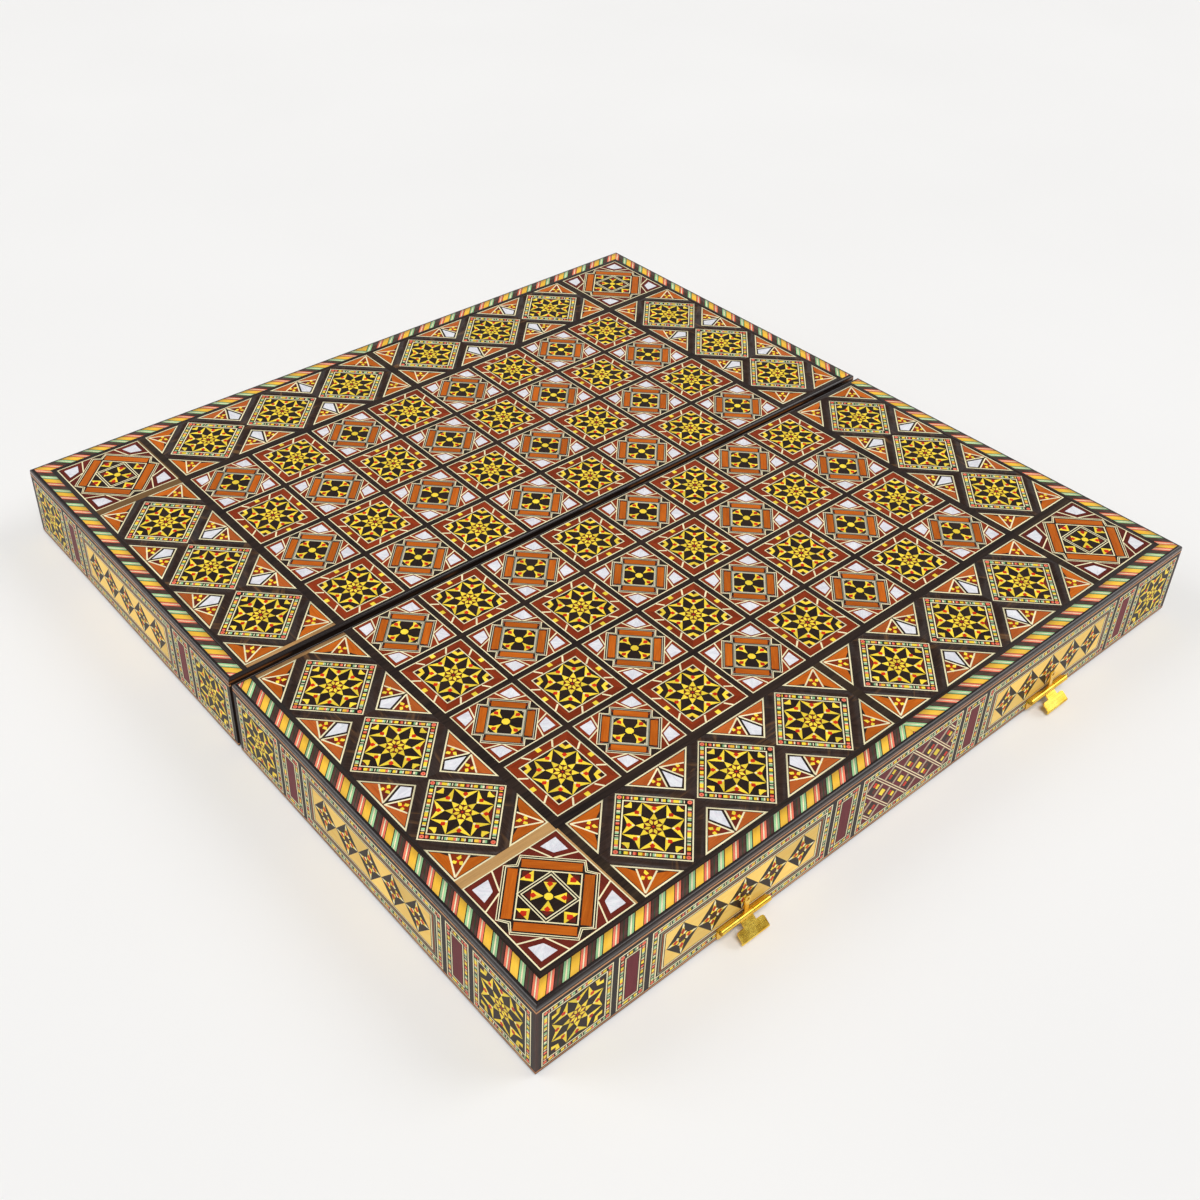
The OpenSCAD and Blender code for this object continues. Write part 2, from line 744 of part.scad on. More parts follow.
// ---------- nodes ----------
module near_front_wall() { near_side() outer_wall(true); }
module near_seam_wall() { near_side() seam_wall(); }
module near_left_wall() { near_side() mirror([1, 0, 0]) end_wall(); }
module near_right_wall() { near_side() end_wall(); }
module near_board() { near_side() board(); }
module near_lining() { near_side() lining(); }
module near_points_light() { near_side() points(tan_wood, 0); }
module near_points_dark() { near_side() points(walnut, 1); }
module near_edge_bead() { near_side() edge_bead(); }
module near_banding() { near_side() banding(); }
module near_black_ground() { near_side() black_ground(1); }
module near_star_inlays() { near_side() star_inlays(1); }
module near_dividers() { near_side() dividers(); }
module near_field_ground() { near_side() field_ground(); }
module near_star_squares() { near_side() star_squares(1); }
module near_pearl_squares() { near_side() pearl_squares(1); }
module near_border_stars() { near_side() border_stars(); }
module near_border_triangles() { near_side() border_triangles(); }
module near_corner_tiles() { near_side() corner_tiles(); }
module near_side_ground() { near_side() side_ground(); }
module near_side_lines() { near_side() side_lines(); }
module near_side_stars() { near_side() side_stars(); }
module near_side_bars() { near_side() side_bars(); }
module near_side_mosaics() { near_side() side_mosaics(true); }
module far_back_wall() { far_side() outer_wall(false); }
module far_seam_wall() { far_side() seam_wall(); }
module far_left_wall() { far_side() mirror([1, 0, 0]) end_wall(); }
module far_right_wall() { far_side() end_wall(); }
module far_board() { far_side() board(); }
module far_lining() { far_side() lining(); }
module far_points_light() { far_side() points(tan_wood, 1); }
module far_points_dark() { far_side() points(walnut, 0); }
module far_edge_bead() { far_side() edge_bead(); }
module far_banding() { far_side() banding(); }
module far_black_ground() { far_side() black_ground(0); }
module far_star_inlays() { far_side() star_inlays(0); }
module far_dividers() { far_side() dividers(); }
module far_field_ground() { far_side() field_ground(); }
module far_star_squares() { far_side() star_squares(0); }
module far_pearl_squares() { far_side() pearl_squares(0); }
module far_border_stars() { far_side() border_stars(); }
module far_border_triangles() { far_side() border_triangles(); }
module far_corner_tiles() { far_side() corner_tiles(); }
module far_side_ground() { far_side() side_ground(); }
module far_side_lines() { far_side() side_lines(); }
module far_side_stars() { far_side() side_stars(); }
module far_side_bars() { far_side() side_bars(); }
module far_side_mosaics() { far_side() side_mosaics(false); }
module hinge_near_leaves() { near_side() hinge_leaves([0, 2, 4]); }
module hinge_far_leaves() { far_side() hinge_leaves([1, 3]); }
module hinge_pins() { near_side() hinge_pin_set(); }
module hinge_near_screws() { near_side() hinge_screws(); }
module hinge_far_screws() { far_side() hinge_screws(); }
module latch_plates() { near_side() latch_plate_set(); }
module latch_pins() { near_side() latch_pin_set(); }
module latch_nails() { near_side() latch_nail_set(); }
module latch_hook_at(side) {
    color(brass) near_side() translate([side * latch_x, outer_v, 0]) latch_hook();
}
module latch_hook_left() { latch_hook_at(-1); }
module latch_hook_right() { latch_hook_at(1); }
module catch_plates() { far_side() catch_plate_set(); }
module catch_nails() { far_side() catch_nail_set(); }

near_front_wall();
near_seam_wall();
near_left_wall();
near_right_wall();
near_board();
near_lining();
near_points_light();
near_points_dark();
near_edge_bead();
near_banding();
near_black_ground();
near_star_inlays();
near_dividers();
near_field_ground();
near_star_squares();
near_pearl_squares();
near_border_stars();
near_border_triangles();
near_corner_tiles();
near_side_ground();
near_side_lines();
near_side_stars();
near_side_bars();
near_side_mosaics();
far_back_wall();
far_seam_wall();
far_left_wall();
far_right_wall();
far_board();
far_lining();
far_points_light();
far_points_dark();
far_edge_bead();
far_banding();
far_black_ground();
far_star_inlays();
far_dividers();
far_field_ground();
far_star_squares();
far_pearl_squares();
far_border_stars();
far_border_triangles();
far_corner_tiles();
far_side_ground();
far_side_lines();
far_side_stars();
far_side_bars();
far_side_mosaics();
hinge_near_leaves();
hinge_far_leaves();
hinge_pins();
hinge_near_screws();
hinge_far_screws();
latch_plates();
latch_pins();
latch_nails();
latch_hook_left();
latch_hook_right();
catch_plates();
catch_nails();
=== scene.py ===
import math
import bpy
import numpy as np
from mathutils import Matrix, Vector
from mathutils.geometry import delaunay_2d_cdt


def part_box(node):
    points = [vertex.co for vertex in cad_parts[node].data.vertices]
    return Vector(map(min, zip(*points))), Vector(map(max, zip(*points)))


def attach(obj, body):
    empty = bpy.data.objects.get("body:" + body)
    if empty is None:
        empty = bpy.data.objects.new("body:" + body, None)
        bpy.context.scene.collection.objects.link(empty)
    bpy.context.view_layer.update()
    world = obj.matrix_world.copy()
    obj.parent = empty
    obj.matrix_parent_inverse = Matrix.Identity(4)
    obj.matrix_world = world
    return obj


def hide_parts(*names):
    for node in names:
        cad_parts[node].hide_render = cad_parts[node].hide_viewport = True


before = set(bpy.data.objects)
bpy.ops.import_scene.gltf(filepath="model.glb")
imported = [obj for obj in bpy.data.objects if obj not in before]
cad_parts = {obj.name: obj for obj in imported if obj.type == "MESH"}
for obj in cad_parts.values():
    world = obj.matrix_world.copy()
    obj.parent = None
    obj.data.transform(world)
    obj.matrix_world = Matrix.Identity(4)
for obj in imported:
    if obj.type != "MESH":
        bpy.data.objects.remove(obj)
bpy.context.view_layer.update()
rng = np.random.default_rng(64)


def edgeOf(node, side, axis):
    # one limit of a CAD node in millimetres: side 0 is the low one, 1 the high one
    return round(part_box(node)[side][axis] * 1000, 3)


# the case in millimetres; what lies outside comes from the frame, the rest are its seams and strips
case = dict(
    centreY=(edgeOf("near_side_bars", 0, 1) + edgeOf("far_side_bars", 1, 1)) / 2,
    outer=(edgeOf("far_side_bars", 1, 1) - edgeOf("near_side_bars", 0, 1)) / 2,
    halfLength=edgeOf("near_side_bars", 1, 0), top=edgeOf("near_black_ground", 1, 2),
    seam=1.7, bead=2.3, veneer=1.0, pitch=44.2, square=40.7,
    fieldHalf=175.05, fieldStart=4.0, fieldEnd=177.3,
    strip=5.4, border=55.0, frameWidth=3.0, banding=7.4,
    runMargin=3.0, longRun=172.35, endRun=170.9, starInset=0.8, seamDark=2.4,
    panelLow=3.45, panelHigh=42.05, hair=0.05,
)
print("case:", {k: round(v, 2) for k, v in case.items()})


def linear(rgb):
    # screen colour 0..255 to the linear value that a socket wants
    c = np.array(rgb, float) / 255
    c = np.where(c <= 0.04045, c / 12.92, ((c + 0.055) / 1.055) ** 2.4)
    return (*c.tolist(), 1.0)


class Wire:
    # a socket that can be written in sums and products
    def __init__(self, graph, socket):
        self.graph, self.socket = graph, socket

    def op(self, name, a, b=0.0):
        return self.graph.node("ShaderNodeMath", dict(operation=name), {0: a, 1: b})

    def __add__(self, o): return self.op("ADD", self, o)
    def __radd__(self, o): return self.op("ADD", o, self)
    def __sub__(self, o): return self.op("SUBTRACT", self, o)
    def __mul__(self, o): return self.op("MULTIPLY", self, o)
    def __lt__(self, o): return self.op("LESS_THAN", self, o)
    def __abs__(self): return self.op("ABSOLUTE", self)


class Graph:
    # the nodes of one material, or of the world
    def __init__(self, name, owner=None, ending="ShaderNodeOutputMaterial"):
        self.material = owner or bpy.data.materials.new(name)
        self.material.use_nodes = True
        self.tree = self.material.node_tree
        self.tree.nodes.clear()
        self.out = self.tree.nodes.new(ending)

    def node(self, kind, settings=None, inputs=None, out=0):
        n = self.tree.nodes.new(kind)
        for key, value in (settings or {}).items():
            setattr(n, key, value)
        for key, value in (inputs or {}).items():
            if isinstance(value, Wire):
                self.tree.links.new(value.socket, n.inputs[key])
            else:
                n.inputs[key].default_value = value
        return Wire(self, n.outputs[out])

    def mix(self, factor, a, b, blend="MIX"):
        settings = dict(data_type="RGBA", blend_type=blend)
        return self.node("ShaderNodeMix", settings, {0: factor, 6: a, 7: b}, 2)

    def noise(self, vector, scale, detail=3.0, rough=0.55, distortion=0.0):
        # scale: one number, or three for a pattern stretched along an axis
        if not isinstance(scale, (int, float)):
            vector = self.node("ShaderNodeMapping", None, {"Vector": vector, "Scale": scale})
            scale = 1.0
        inputs = dict(Vector=vector, Scale=scale, Detail=detail, Roughness=rough, Distortion=distortion)
        return self.node("ShaderNodeTexNoise", None, inputs)

    def spread(self, value, low, high, toLow=0.0, toHigh=1.0):
        inputs = {"Value": value, 1: low, 2: high, 3: toLow, 4: toHigh}
        return self.node("ShaderNodeMapRange", None, inputs)

    def place(self):
        # Object coordinates, and their three parts
        whole = self.node("ShaderNodeTexCoord", None, None, 3)
        return whole, [self.node("ShaderNodeSeparateXYZ", None, {0: whole}, i) for i in range(3)]

    def bump(self, height, strength=0.12, distance=0.0002):
        return self.node("ShaderNodeBump", None, dict(Strength=strength, Distance=distance, Height=height))

    def finish(self, **sockets):
        shader = self.tree.nodes.new("ShaderNodeBsdfPrincipled")
        for key, value in sockets.items():
            socket = shader.inputs[key.replace("_", " ")]
            if isinstance(value, Wire):
                self.tree.links.new(value.socket, socket)
            else:
                socket.default_value = value
        self.tree.links.new(shader.outputs[0], self.out.inputs[0])
        return self.material


# woods of the marquetry: light and dark screen colours, how strong the grain shows, how much pieces
# differ, and the colour of streaks where there are any
woods = dict(
    ebony=dict(light=(54, 40, 32), dark=(24, 17, 14), grain=0.9, tone=0.35),
    rosewood=dict(light=(64, 46, 37), dark=(29, 20, 17), grain=1.0, tone=0.3, patch=(126, 90, 54)),
    tan=dict(light=(190, 146, 92), dark=(142, 102, 58), grain=1.0, tone=0.3, patch=(84, 60, 40)),
    cream=dict(light=(255, 248, 210), dark=(240, 224, 170), grain=0.5, tone=0.2),
    ash=dict(light=(214, 208, 184), dark=(168, 162, 136), grain=0.5, tone=0.3),
    grey=dict(light=(164, 162, 138), dark=(112, 112, 92), grain=0.4, tone=0.3),
    yellow=dict(light=(255, 236, 84), dark=(248, 200, 38), grain=0.6, tone=0.35),
    golden=dict(light=(255, 212, 84), dark=(248, 180, 44), grain=0.6, tone=0.2),
    honey=dict(light=(255, 228, 136), dark=(250, 190, 74), grain=0.7, tone=0.35),
    orange=dict(light=(212, 112, 28), dark=(164, 72, 8), grain=0.9, tone=0.3),
    sienna=dict(light=(204, 108, 46), dark=(156, 70, 24), grain=0.8, tone=0.35),
    mahogany=dict(light=(158, 60, 22), dark=(106, 34, 10), grain=0.9, tone=0.35),
    maroon=dict(light=(122, 44, 30), dark=(76, 24, 16), grain=0.8, tone=0.4),
    plum=dict(light=(124, 28, 42), dark=(80, 12, 24), grain=0.7, tone=0.3),
    red=dict(light=(226, 62, 28), dark=(176, 30, 14), grain=0.5, tone=0.4),
    salmon=dict(light=(252, 142, 112), dark=(232, 100, 74), grain=0.5, tone=0.3),
    green=dict(light=(178, 222, 166), dark=(120, 178, 120), grain=0.5, tone=0.45),
    darkGreen=dict(light=(62, 92, 62), dark=(34, 56, 40), grain=0.5, tone=0.4),
    mauve=dict(light=(106, 70, 60), dark=(62, 41, 37), grain=0.8, tone=0.3),
)


def inlayWood(name, w):
    # veneer: fibres stretched along the first map axis, each piece with its own tone, under a thin polish
    g = Graph(name)
    place = g.node("ShaderNodeUVMap", dict(uv_map="grain"))
    tone = g.node("ShaderNodeAttribute", dict(attribute_name="tone"), None, 2)
    fibre = g.noise(place, (0.10, 1.6, 1), 4.0, 0.6, 0.4)
    figure = g.noise(place, (0.05, 0.32, 1), 2.0, 0.5, 0.6)
    pore = g.noise(place, (0.5, 7.0, 1), 2.0, 0.6)
    blend = g.spread(fibre * 0.6 + figure * 0.4, 0.5 - 0.2 / w["grain"], 0.5 + 0.2 / w["grain"])
    base = g.mix(blend, linear(w["dark"]), linear(w["light"]))
    if "patch" in w:  # sapwood that shows in long streaks
        streak = g.noise(place, (0.022, 0.16, 1), 3.0, 0.6, 0.8)
        base = g.mix(g.spread(streak, 0.58, 0.74, 0.0, 0.75), base, linear(w["patch"]))
    shade = 1 + (tone - 0.5) * w["tone"] - g.spread(pore, 0.55, 0.75, 0.0, 0.16 * w["grain"])
    return g.finish(Base_Color=g.mix(1.0, base, shade, "MULTIPLY"),
                    Roughness=g.spread(pore, 0.3, 0.8, 0.4, 0.52), Normal=g.bump(fibre + pore * 0.6),
                    Specular_IOR_Level=0.16, Coat_Weight=0.03, Coat_Roughness=0.2)


def pearlShell(name):
    # mother of pearl: cloudy, with faint pink and green waves and fine parallel growth lines
    g = Graph(name)
    place = g.node("ShaderNodeUVMap", dict(uv_map="grain"))
    tone = g.node("ShaderNodeAttribute", dict(attribute_name="tone"), None, 2)
    cloud = g.noise(place, (0.12, 0.3, 1), 3.0, 0.6, 1.2)
    wave = g.noise(place, (0.3, 0.7, 1), 2.0, 0.5, 2.0)
    growth = g.noise(place, (0.2, 3.2, 1), 3.0, 0.6, 0.5)
    base = g.mix(g.spread(cloud, 0.35, 0.65), linear((222, 222, 229)), linear((247, 247, 249)))
    base = g.mix(g.spread(wave, 0.5, 0.7, 0.0, 0.4), base, linear((236, 218, 228)))
    base = g.mix(g.spread(wave, 0.5, 0.3, 0.0, 0.35), base, linear((212, 228, 226)))
    shade = 0.95 + tone * 0.08 - g.spread(growth, 0.5, 0.8, 0.0, 0.12)
    return g.finish(Base_Color=g.mix(1.0, base, shade, "MULTIPLY"),
                    Roughness=g.spread(wave, 0.2, 0.8, 0.22, 0.36), Normal=g.bump(cloud),
                    Coat_Weight=0.3, Coat_Roughness=0.12)


materials = {name: inlayWood("inlay_" + name, w) for name, w in woods.items()}
materials["pearl"] = pearlShell("inlay_pearl")
bucket = list(materials) + ["hole"]  # a hole is cut out of the ground under it
print("materials for the marquetry:", len(materials))


# A pattern is a list of pieces (points, wood, grain angle) in millimetres, later ones on top.
# Sizes that the stars and triangles are drawn at, before they are fitted to their places:
drawn = dict(starTip=15.8, lozenge=26.7, bigHalf=20.87, bigDeep=20.69, smallWide=23.9, smallDeep=23.7)
crack = 0.04  # half the dark line between neighbouring blocks

def turned(points, degrees):
    # rotation matrix times the points
    a = math.radians(degrees)
    return np.asarray(points, float) @ np.array([[math.cos(a), math.sin(a)], [-math.sin(a), math.cos(a)]])


def spun(shapes, degrees, scale=1.0, shift=(0, 0)):
    return [(turned(p, degrees) * scale + shift, wood, grain + degrees) for p, wood, grain in shapes]


def moved(shapes, x, y):
    return spun(shapes, 0, 1.0, (x, y))


def flipped(shapes):
    return [(np.asarray(p, float)[::-1] * (-1, 1), wood, 180 - grain) for p, wood, grain in shapes]


def around(shapes, count, first=0.0):
    # the same pieces again at equal angles
    return [shape for k in range(count) for shape in spun(shapes, first + 360 / count * k)]


def piece(wood, points, grain=None):
    points = np.asarray(points, float)
    if grain is None:  # along the longest edge
        edge = np.roll(points, -1, 0) - points
        long = edge[np.argmax((edge ** 2).sum(1))]
        grain = math.degrees(math.atan2(long[1], long[0]))
    return (points, wood, grain)


def rect(x0, y0, x1, y1):
    return np.array([(x0, y0), (x1, y0), (x1, y1), (x0, y1)], float)


def square(half):
    return rect(-half, -half, half, half)


def bar(a, b, width):
    # strip between two points
    a, b = np.array(a, float), np.array(b, float)
    n = np.array([a[1] - b[1], b[0] - a[0]]) / np.linalg.norm(b - a) * width / 2
    return np.array([a - n, b - n, b + n, a + n])


def polar(*pairs):
    # points from (radius, angle)
    return np.array([(r * math.cos(math.radians(a)), r * math.sin(math.radians(a))) for r, a in pairs])


def octagon(radius, first=22.5):
    return polar(*[(radius, first + 45 * k) for k in range(8)])


def cutBack(points, normal, limit):
    # keeps the part of a convex outline where normal . p <= limit
    points = np.asarray(points, float)
    if len(points) < 3:
        return points
    room, kept = limit - points @ np.array(normal, float), []
    for i in range(len(points)):
        j = (i + 1) % len(points)
        if room[i] >= 0:
            kept.append(points[i])
        if room[i] * room[j] < 0:
            kept.append(points[i] + (points[j] - points[i]) * room[i] / (room[i] - room[j]))
    return np.array(kept) if len(kept) > 2 else np.zeros((0, 2))


def within(shapes, *limits):
    # cuts convex pieces back to several straight limits (normal, distance)
    kept = []
    for points, wood, grain in shapes:
        for normal, limit in limits:
            points = cutBack(points, normal, limit)
        if len(points) > 2:
            kept.append((points, wood, grain))
    return kept


def mitredFrame(wood, half, width):
    # four pieces with mitred ends inside a square
    inner = half - width
    return around([piece(wood, [(-half, -half), (half, -half), (inner, -inner), (-inner, -inner)])], 4)


def nested(shapes):
    # squares inside each other: (half side, wood)
    return [piece(wood, square(half)) for half, wood in shapes]


def starMotif(tip):
    # the eight-fold star, scaled from the drawn tip radius to the wanted one
    band = [
        piece("yellow", polar((15.8, -22.5), (12.3, 0), (7.6, 0)), -60),
        piece("yellow", polar((12.3, 0), (15.8, 22.5), (7.6, 0)), 60),
    ]
    heart = [
        piece("ebony", polar((15.35, 22.5), (8.5, 45), (5.0, 22.5), (8.5, 0)), 22.5),
        piece("yellow", polar((8.5, 0), (5.05, 20.0), (4.4, 0), (5.05, -20.0)), 0),
        piece("cream", polar((10.6, 0), (9.7, 3.6), (8.7, 0), (9.7, -3.6)), 0),
        piece("red", polar((12.8, 2.5), (11.6, 6.9), (10.0, 0), (11.6, -6.9), (12.8, -2.5)), 0),
    ]
    ring = [piece("yellow", polar((5.0, 22.5), (3.0, 41), (1.5, 32), (1.5, 13), (3.0, 4)), 22.5)]
    shapes = around(band, 8) + around(heart, 8) + [piece("maroon", octagon(4.75, 0), 0)] + around(ring, 8)
    shapes += [piece("maroon", octagon(1.35), 0), piece("red", octagon(0.5), 0)]
    return spun(shapes, 0, tip / drawn["starTip"])


def cornerSteps():
    # dark square and stepped yellow angle in each corner round a star
    return around([
        piece("maroon", rect(12.5, 12.5, 15.0, 15.0)),
        piece("ebony", rect(13.1, 13.1, 15.0, 15.0)),
        piece("yellow", [(12.4, 12.4), (11.0, 11.0), (15.0, 9.95), (15.0, 12.4)], 0),
        piece("yellow", [(12.4, 12.4), (12.4, 15.0), (9.95, 15.0), (11.0, 11.0)], 90),
    ], 4)


def steppedStar():
    # the star of the squares and of the side panels, with its corner steps
    return spun(cornerSteps(), 0, .975) + starMotif(15.7)


def starSquare():
    h = case["square"] / 2
    rays = [
        piece("yellow", rect(-1.35, 17.2, 1.35, 19.7)),
        piece("cream", bar((9.9, 19.75), (6.9, 15.7), 0.95)),
        piece("cream", bar((-9.9, 19.75), (-6.9, 15.7), 0.95)),
    ]
    shapes = nested([(h, "cream"), (h - 0.62, "ebony")]) + mitredFrame("mahogany", h - 0.8, 4.2)
    shapes += around(rays, 4) + nested([(15.4, "ebony"), (15.25, "cream"), (14.65, "ebony")])
    return shapes + steppedStar()


# blocks of a bead line as (wood, length)
beadRow = [("yellow", 2.0), ("orange", 1.1), ("cream", .7), ("green", .9), ("gap", .7), ("cream", .6),
           ("gap", .6), ("green", .9), ("cream", .7), ("yellow", 2.7), ("salmon", 1.1), ("cream", .7),
           ("green", 1.0), ("gap", .7), ("yellow", 1.6), ("cream", .6), ("maroon", .6), ("gap", .6),
           ("green", 1.4), ("cream", .7), ("gap", .6), ("golden", 2.2), ("salmon", 1.0), ("gap", .7),
           ("cream", 1.1), ("green", .9), ("darkGreen", .6), ("gap", .6), ("yellow", 1.9), ("orange", .8),
           ("cream", .8), ("gap", .7), ("salmon", 1.2), ("red", .5), ("gap", .7)]


def beadLine(length, width, start):
    # a run of small blocks along X, centred, from a place in the row on
    shapes, x, k = [], -length / 2, start
    while x < length / 2 - 0.3:
        wood, w = beadRow[k % len(beadRow)]
        end = min(x + w, length / 2)
        if wood != "gap":
            shapes.append(piece(wood, rect(x + crack, -width / 2, end - crack, width / 2), 90))
        x, k = end, k + 1
    return shapes


def beadPanel(hx, hy, line=.65, bead=2.6, fill=.62):
    # cream line, dark channel with a row of small blocks, cream line, black ground; a stone in each corner
    ox, oy = hx - line, hy - line
    shapes = [piece("cream", rect(-hx, -hy, hx, hy)), piece("ebony", rect(-ox, -oy, ox, oy))]
    for k, (half, out) in enumerate(((ox, oy), (oy, ox), (ox, oy), (oy, ox))):
        run = beadLine(2 * (half - bead) - .2, bead * fill, 7 * k + int(hx))
        shapes += spun(moved(run, 0, -out + bead / 2), 90 * k)
    stone = [piece("salmon", octagon(bead * .4)), piece("red", octagon(bead * .13))]
    for sx in (-1, 1):
        for sy in (-1, 1):
            shapes += moved(stone, sx * (ox - bead / 2), sy * (oy - bead / 2))
    for inset, wood in ((line + bead, "cream"), (2 * line + bead, "ebony")):
        shapes.append(piece(wood, rect(inset - hx, inset - hy, hx - inset, hy - inset)))
    return shapes


def borderStar():
    # beads in a square that stands on its corner
    half = drawn["lozenge"] / math.sqrt(2)
    heart = [
        piece("maroon", [(19.6, 0), (18.4, 1.2), (18.4, -1.2)], 0),
        piece("yellow", [(16.9, 1.9), (14.9, 0), (16.9, -1.9), (18.1, -2.3), (17.8, 0), (18.1, 2.3)], 0),
    ]
    wedge = [piece("maroon", polar((15.3, 22.5), (12.5, 0), (15.3, -22.5)), 90)]
    shapes = spun(beadPanel(half, half, .65, 3.05, .56), 45) + around(heart, 4) + around(wedge, 2, 45)
    return shapes + starMotif(15.5)


def threeBlades(x, y, turn):
    # three yellow blades round a red core
    blade = piece("yellow", polar((0.5, 0), (2.2, 36), (3.8, 12), (2.1, -32)), 0)
    core = piece("red", polar(*[(1.4, 60 + 120 * k) for k in range(3)]), 0)
    return moved(spun(around([blade], 3) + [core], turn), x, y)


def bigTriangle():
    # base along X at y = 0, apex at +Y
    b, d = drawn["bigHalf"], drawn["bigDeep"]
    shapes = [
        piece("cream", [(-b, 0), (b, 0), (0, d)]),
        piece("ebony", [(1.93 - b, .8), (b - 1.93, .8), (0, d - 1.13)]),
        piece("sienna", [(2.8 - b, 1.15), (b - 2.8, 1.15), (0, d - 1.63)], 0),
    ]
    half = [
        piece("ebony", [(0, 1.2), (-14.6, 8.0), (-6.0, 15.6), (0, 20)]),
        piece("mahogany", [(-.9, 2.3), (-14.2, 8.6), (-6.4, 16.6)], 60),
        piece("maroon", [(-.9, 2.3), (-6.4, 5.0), (-6.9, 7.9), (-3.5, 9.0)], 60),
    ] + threeBlades(-7.0, 7.9, 102) + [
        piece("cream", bar((-.5, 1.65), (-13.4, 7.75), .85)),
        piece("cream", bar((-.8, 2.1), (-6.2, 15.3), .85)),
    ]
    half = within(half, ((-1, 1), d - 1.63))
    half.append(piece("ebony", [(0, 2.4), (-5.15, 13.9), (0, d - 1.63)]))
    half = within(half, ((1, 0), 0))
    shell = piece("pearl", [(0, 4.3), (4.0, 14.3), (0, 18.0), (-4.0, 14.3)], 90)
    return shapes + half + flipped(half) + [shell]


def endTriangle():
    # right angle at the origin, legs along +X and +Y
    w, d = drawn["smallWide"], drawn["smallDeep"]
    shapes = [
        piece("cream", [(0, 0), (w, 0), (0, d)]),
        piece("ebony", [(.8, .8), (w - 1.93, .8), (.8, d - 1.93)]),
    ]
    inner = [
        piece("orange", [(1.15, 1.15), (w, 1.15), (9, 9)], 0),
        piece("orange", [(1.15, 1.15), (9, 9), (1.15, d)], 90),
        piece("ebony", [(1.3, 1.3), (17.0, 8.4), (8.4, 17.0)]),
        piece("mahogany", [(2.5, 2.5), (16.6, 9.2), (9.2, 16.6)], 45),
    ] + threeBlades(8.4, 8.4, 165) + [
        piece("cream", bar((1.7, 1.7), (15.6, 8.3), .85)),
        piece("cream", bar((1.7, 1.7), (8.3, 15.6), .85)),
    ]
    return shapes + within(inner, ((1, 1), 22.15))


def notchedLine(peak, half, notch, width, wood):
    # closed line: diagonals at 45 degrees between its peaks, with a notch at each axis
    path = np.concatenate([turned([(notch, 0), (peak, half), (half, peak)], 90 * k) for k in range(4)])
    shapes = []
    for a, b in zip(path, np.roll(path, -1, 0)):
        reach = (b - a) / np.linalg.norm(b - a) * width * .42
        shapes.append(piece(wood, bar(a - reach, b + reach, width)))
    return shapes


def fan(tip, base, half):
    # yellow fan that opens outward, with a dark red drop in the middle of its edge
    waist = tip + (base - tip) * .62
    rim, edge, far = base - .5, base + .1, base + .2
    lower = [(tip, 0), (waist, -half * .4), (rim, -half), (edge, -half * .75), (far, 0)]
    upper = [(tip, 0), (far, 0), (edge, half * .75), (rim, half), (waist, half * .4)]
    drop = [(edge, .7), (base - 1.2, 1.35), (base - 2.9, 0), (base - 1.2, -1.35), (edge, -.7)]
    return [piece("yellow", lower, -20), piece("yellow", upper, 20), piece("red", drop, 0)]


def shellCorner(inner, outer, kite):
    # mother of pearl kite between two cream lines
    return [
        piece("pearl", kite, 45),
        piece("cream", bar(outer, inner, .75)),
        piece("cream", bar(outer[::-1], inner[::-1], .75)),
    ]


def pearlSquare():
    h = case["square"] / 2
    kite = [(17.7, 17.8), (10.2, 17.8), (11.9, 12.3), (12.3, 11.9), (17.8, 10.2)]
    ground = [
        piece("ebony", [(0, 0), (19.6, -2.9), (19.6, 2.9)]),
        piece("ebony", [(0, 0), (18.9, 3.5), (3.5, 18.9)]),
    ]
    shapes = nested([(h, "cream"), (h - 0.62, "ebony")]) + mitredFrame("mahogany", h - 0.8, 12)
    shapes += around(shellCorner((10.9, 11.6), (8.3, 19.7), kite), 4) + around(ground, 4)
    shapes += notchedLine(18.95, 3.5, 15.4, .45, "cream") + notchedLine(17.8, 3.1, 14.3, .45, "ash")
    shapes += around([piece("orange", rect(-8.8, 10.35, 8.8, 14.1), 0)], 4, 45)
    shapes += spun(nested([(9.95, "grey"), (9.5, "ebony"), (9.35, "ash"), (8.45, "ebony")]), 45)
    shapes += around(fan(2.9, 9.0, 3.45) + [piece("cream", [(11.7, 0), (11.0, .55), (11.0, -.55)])], 4)
    return shapes + [piece("yellow", octagon(2.25), 0)]


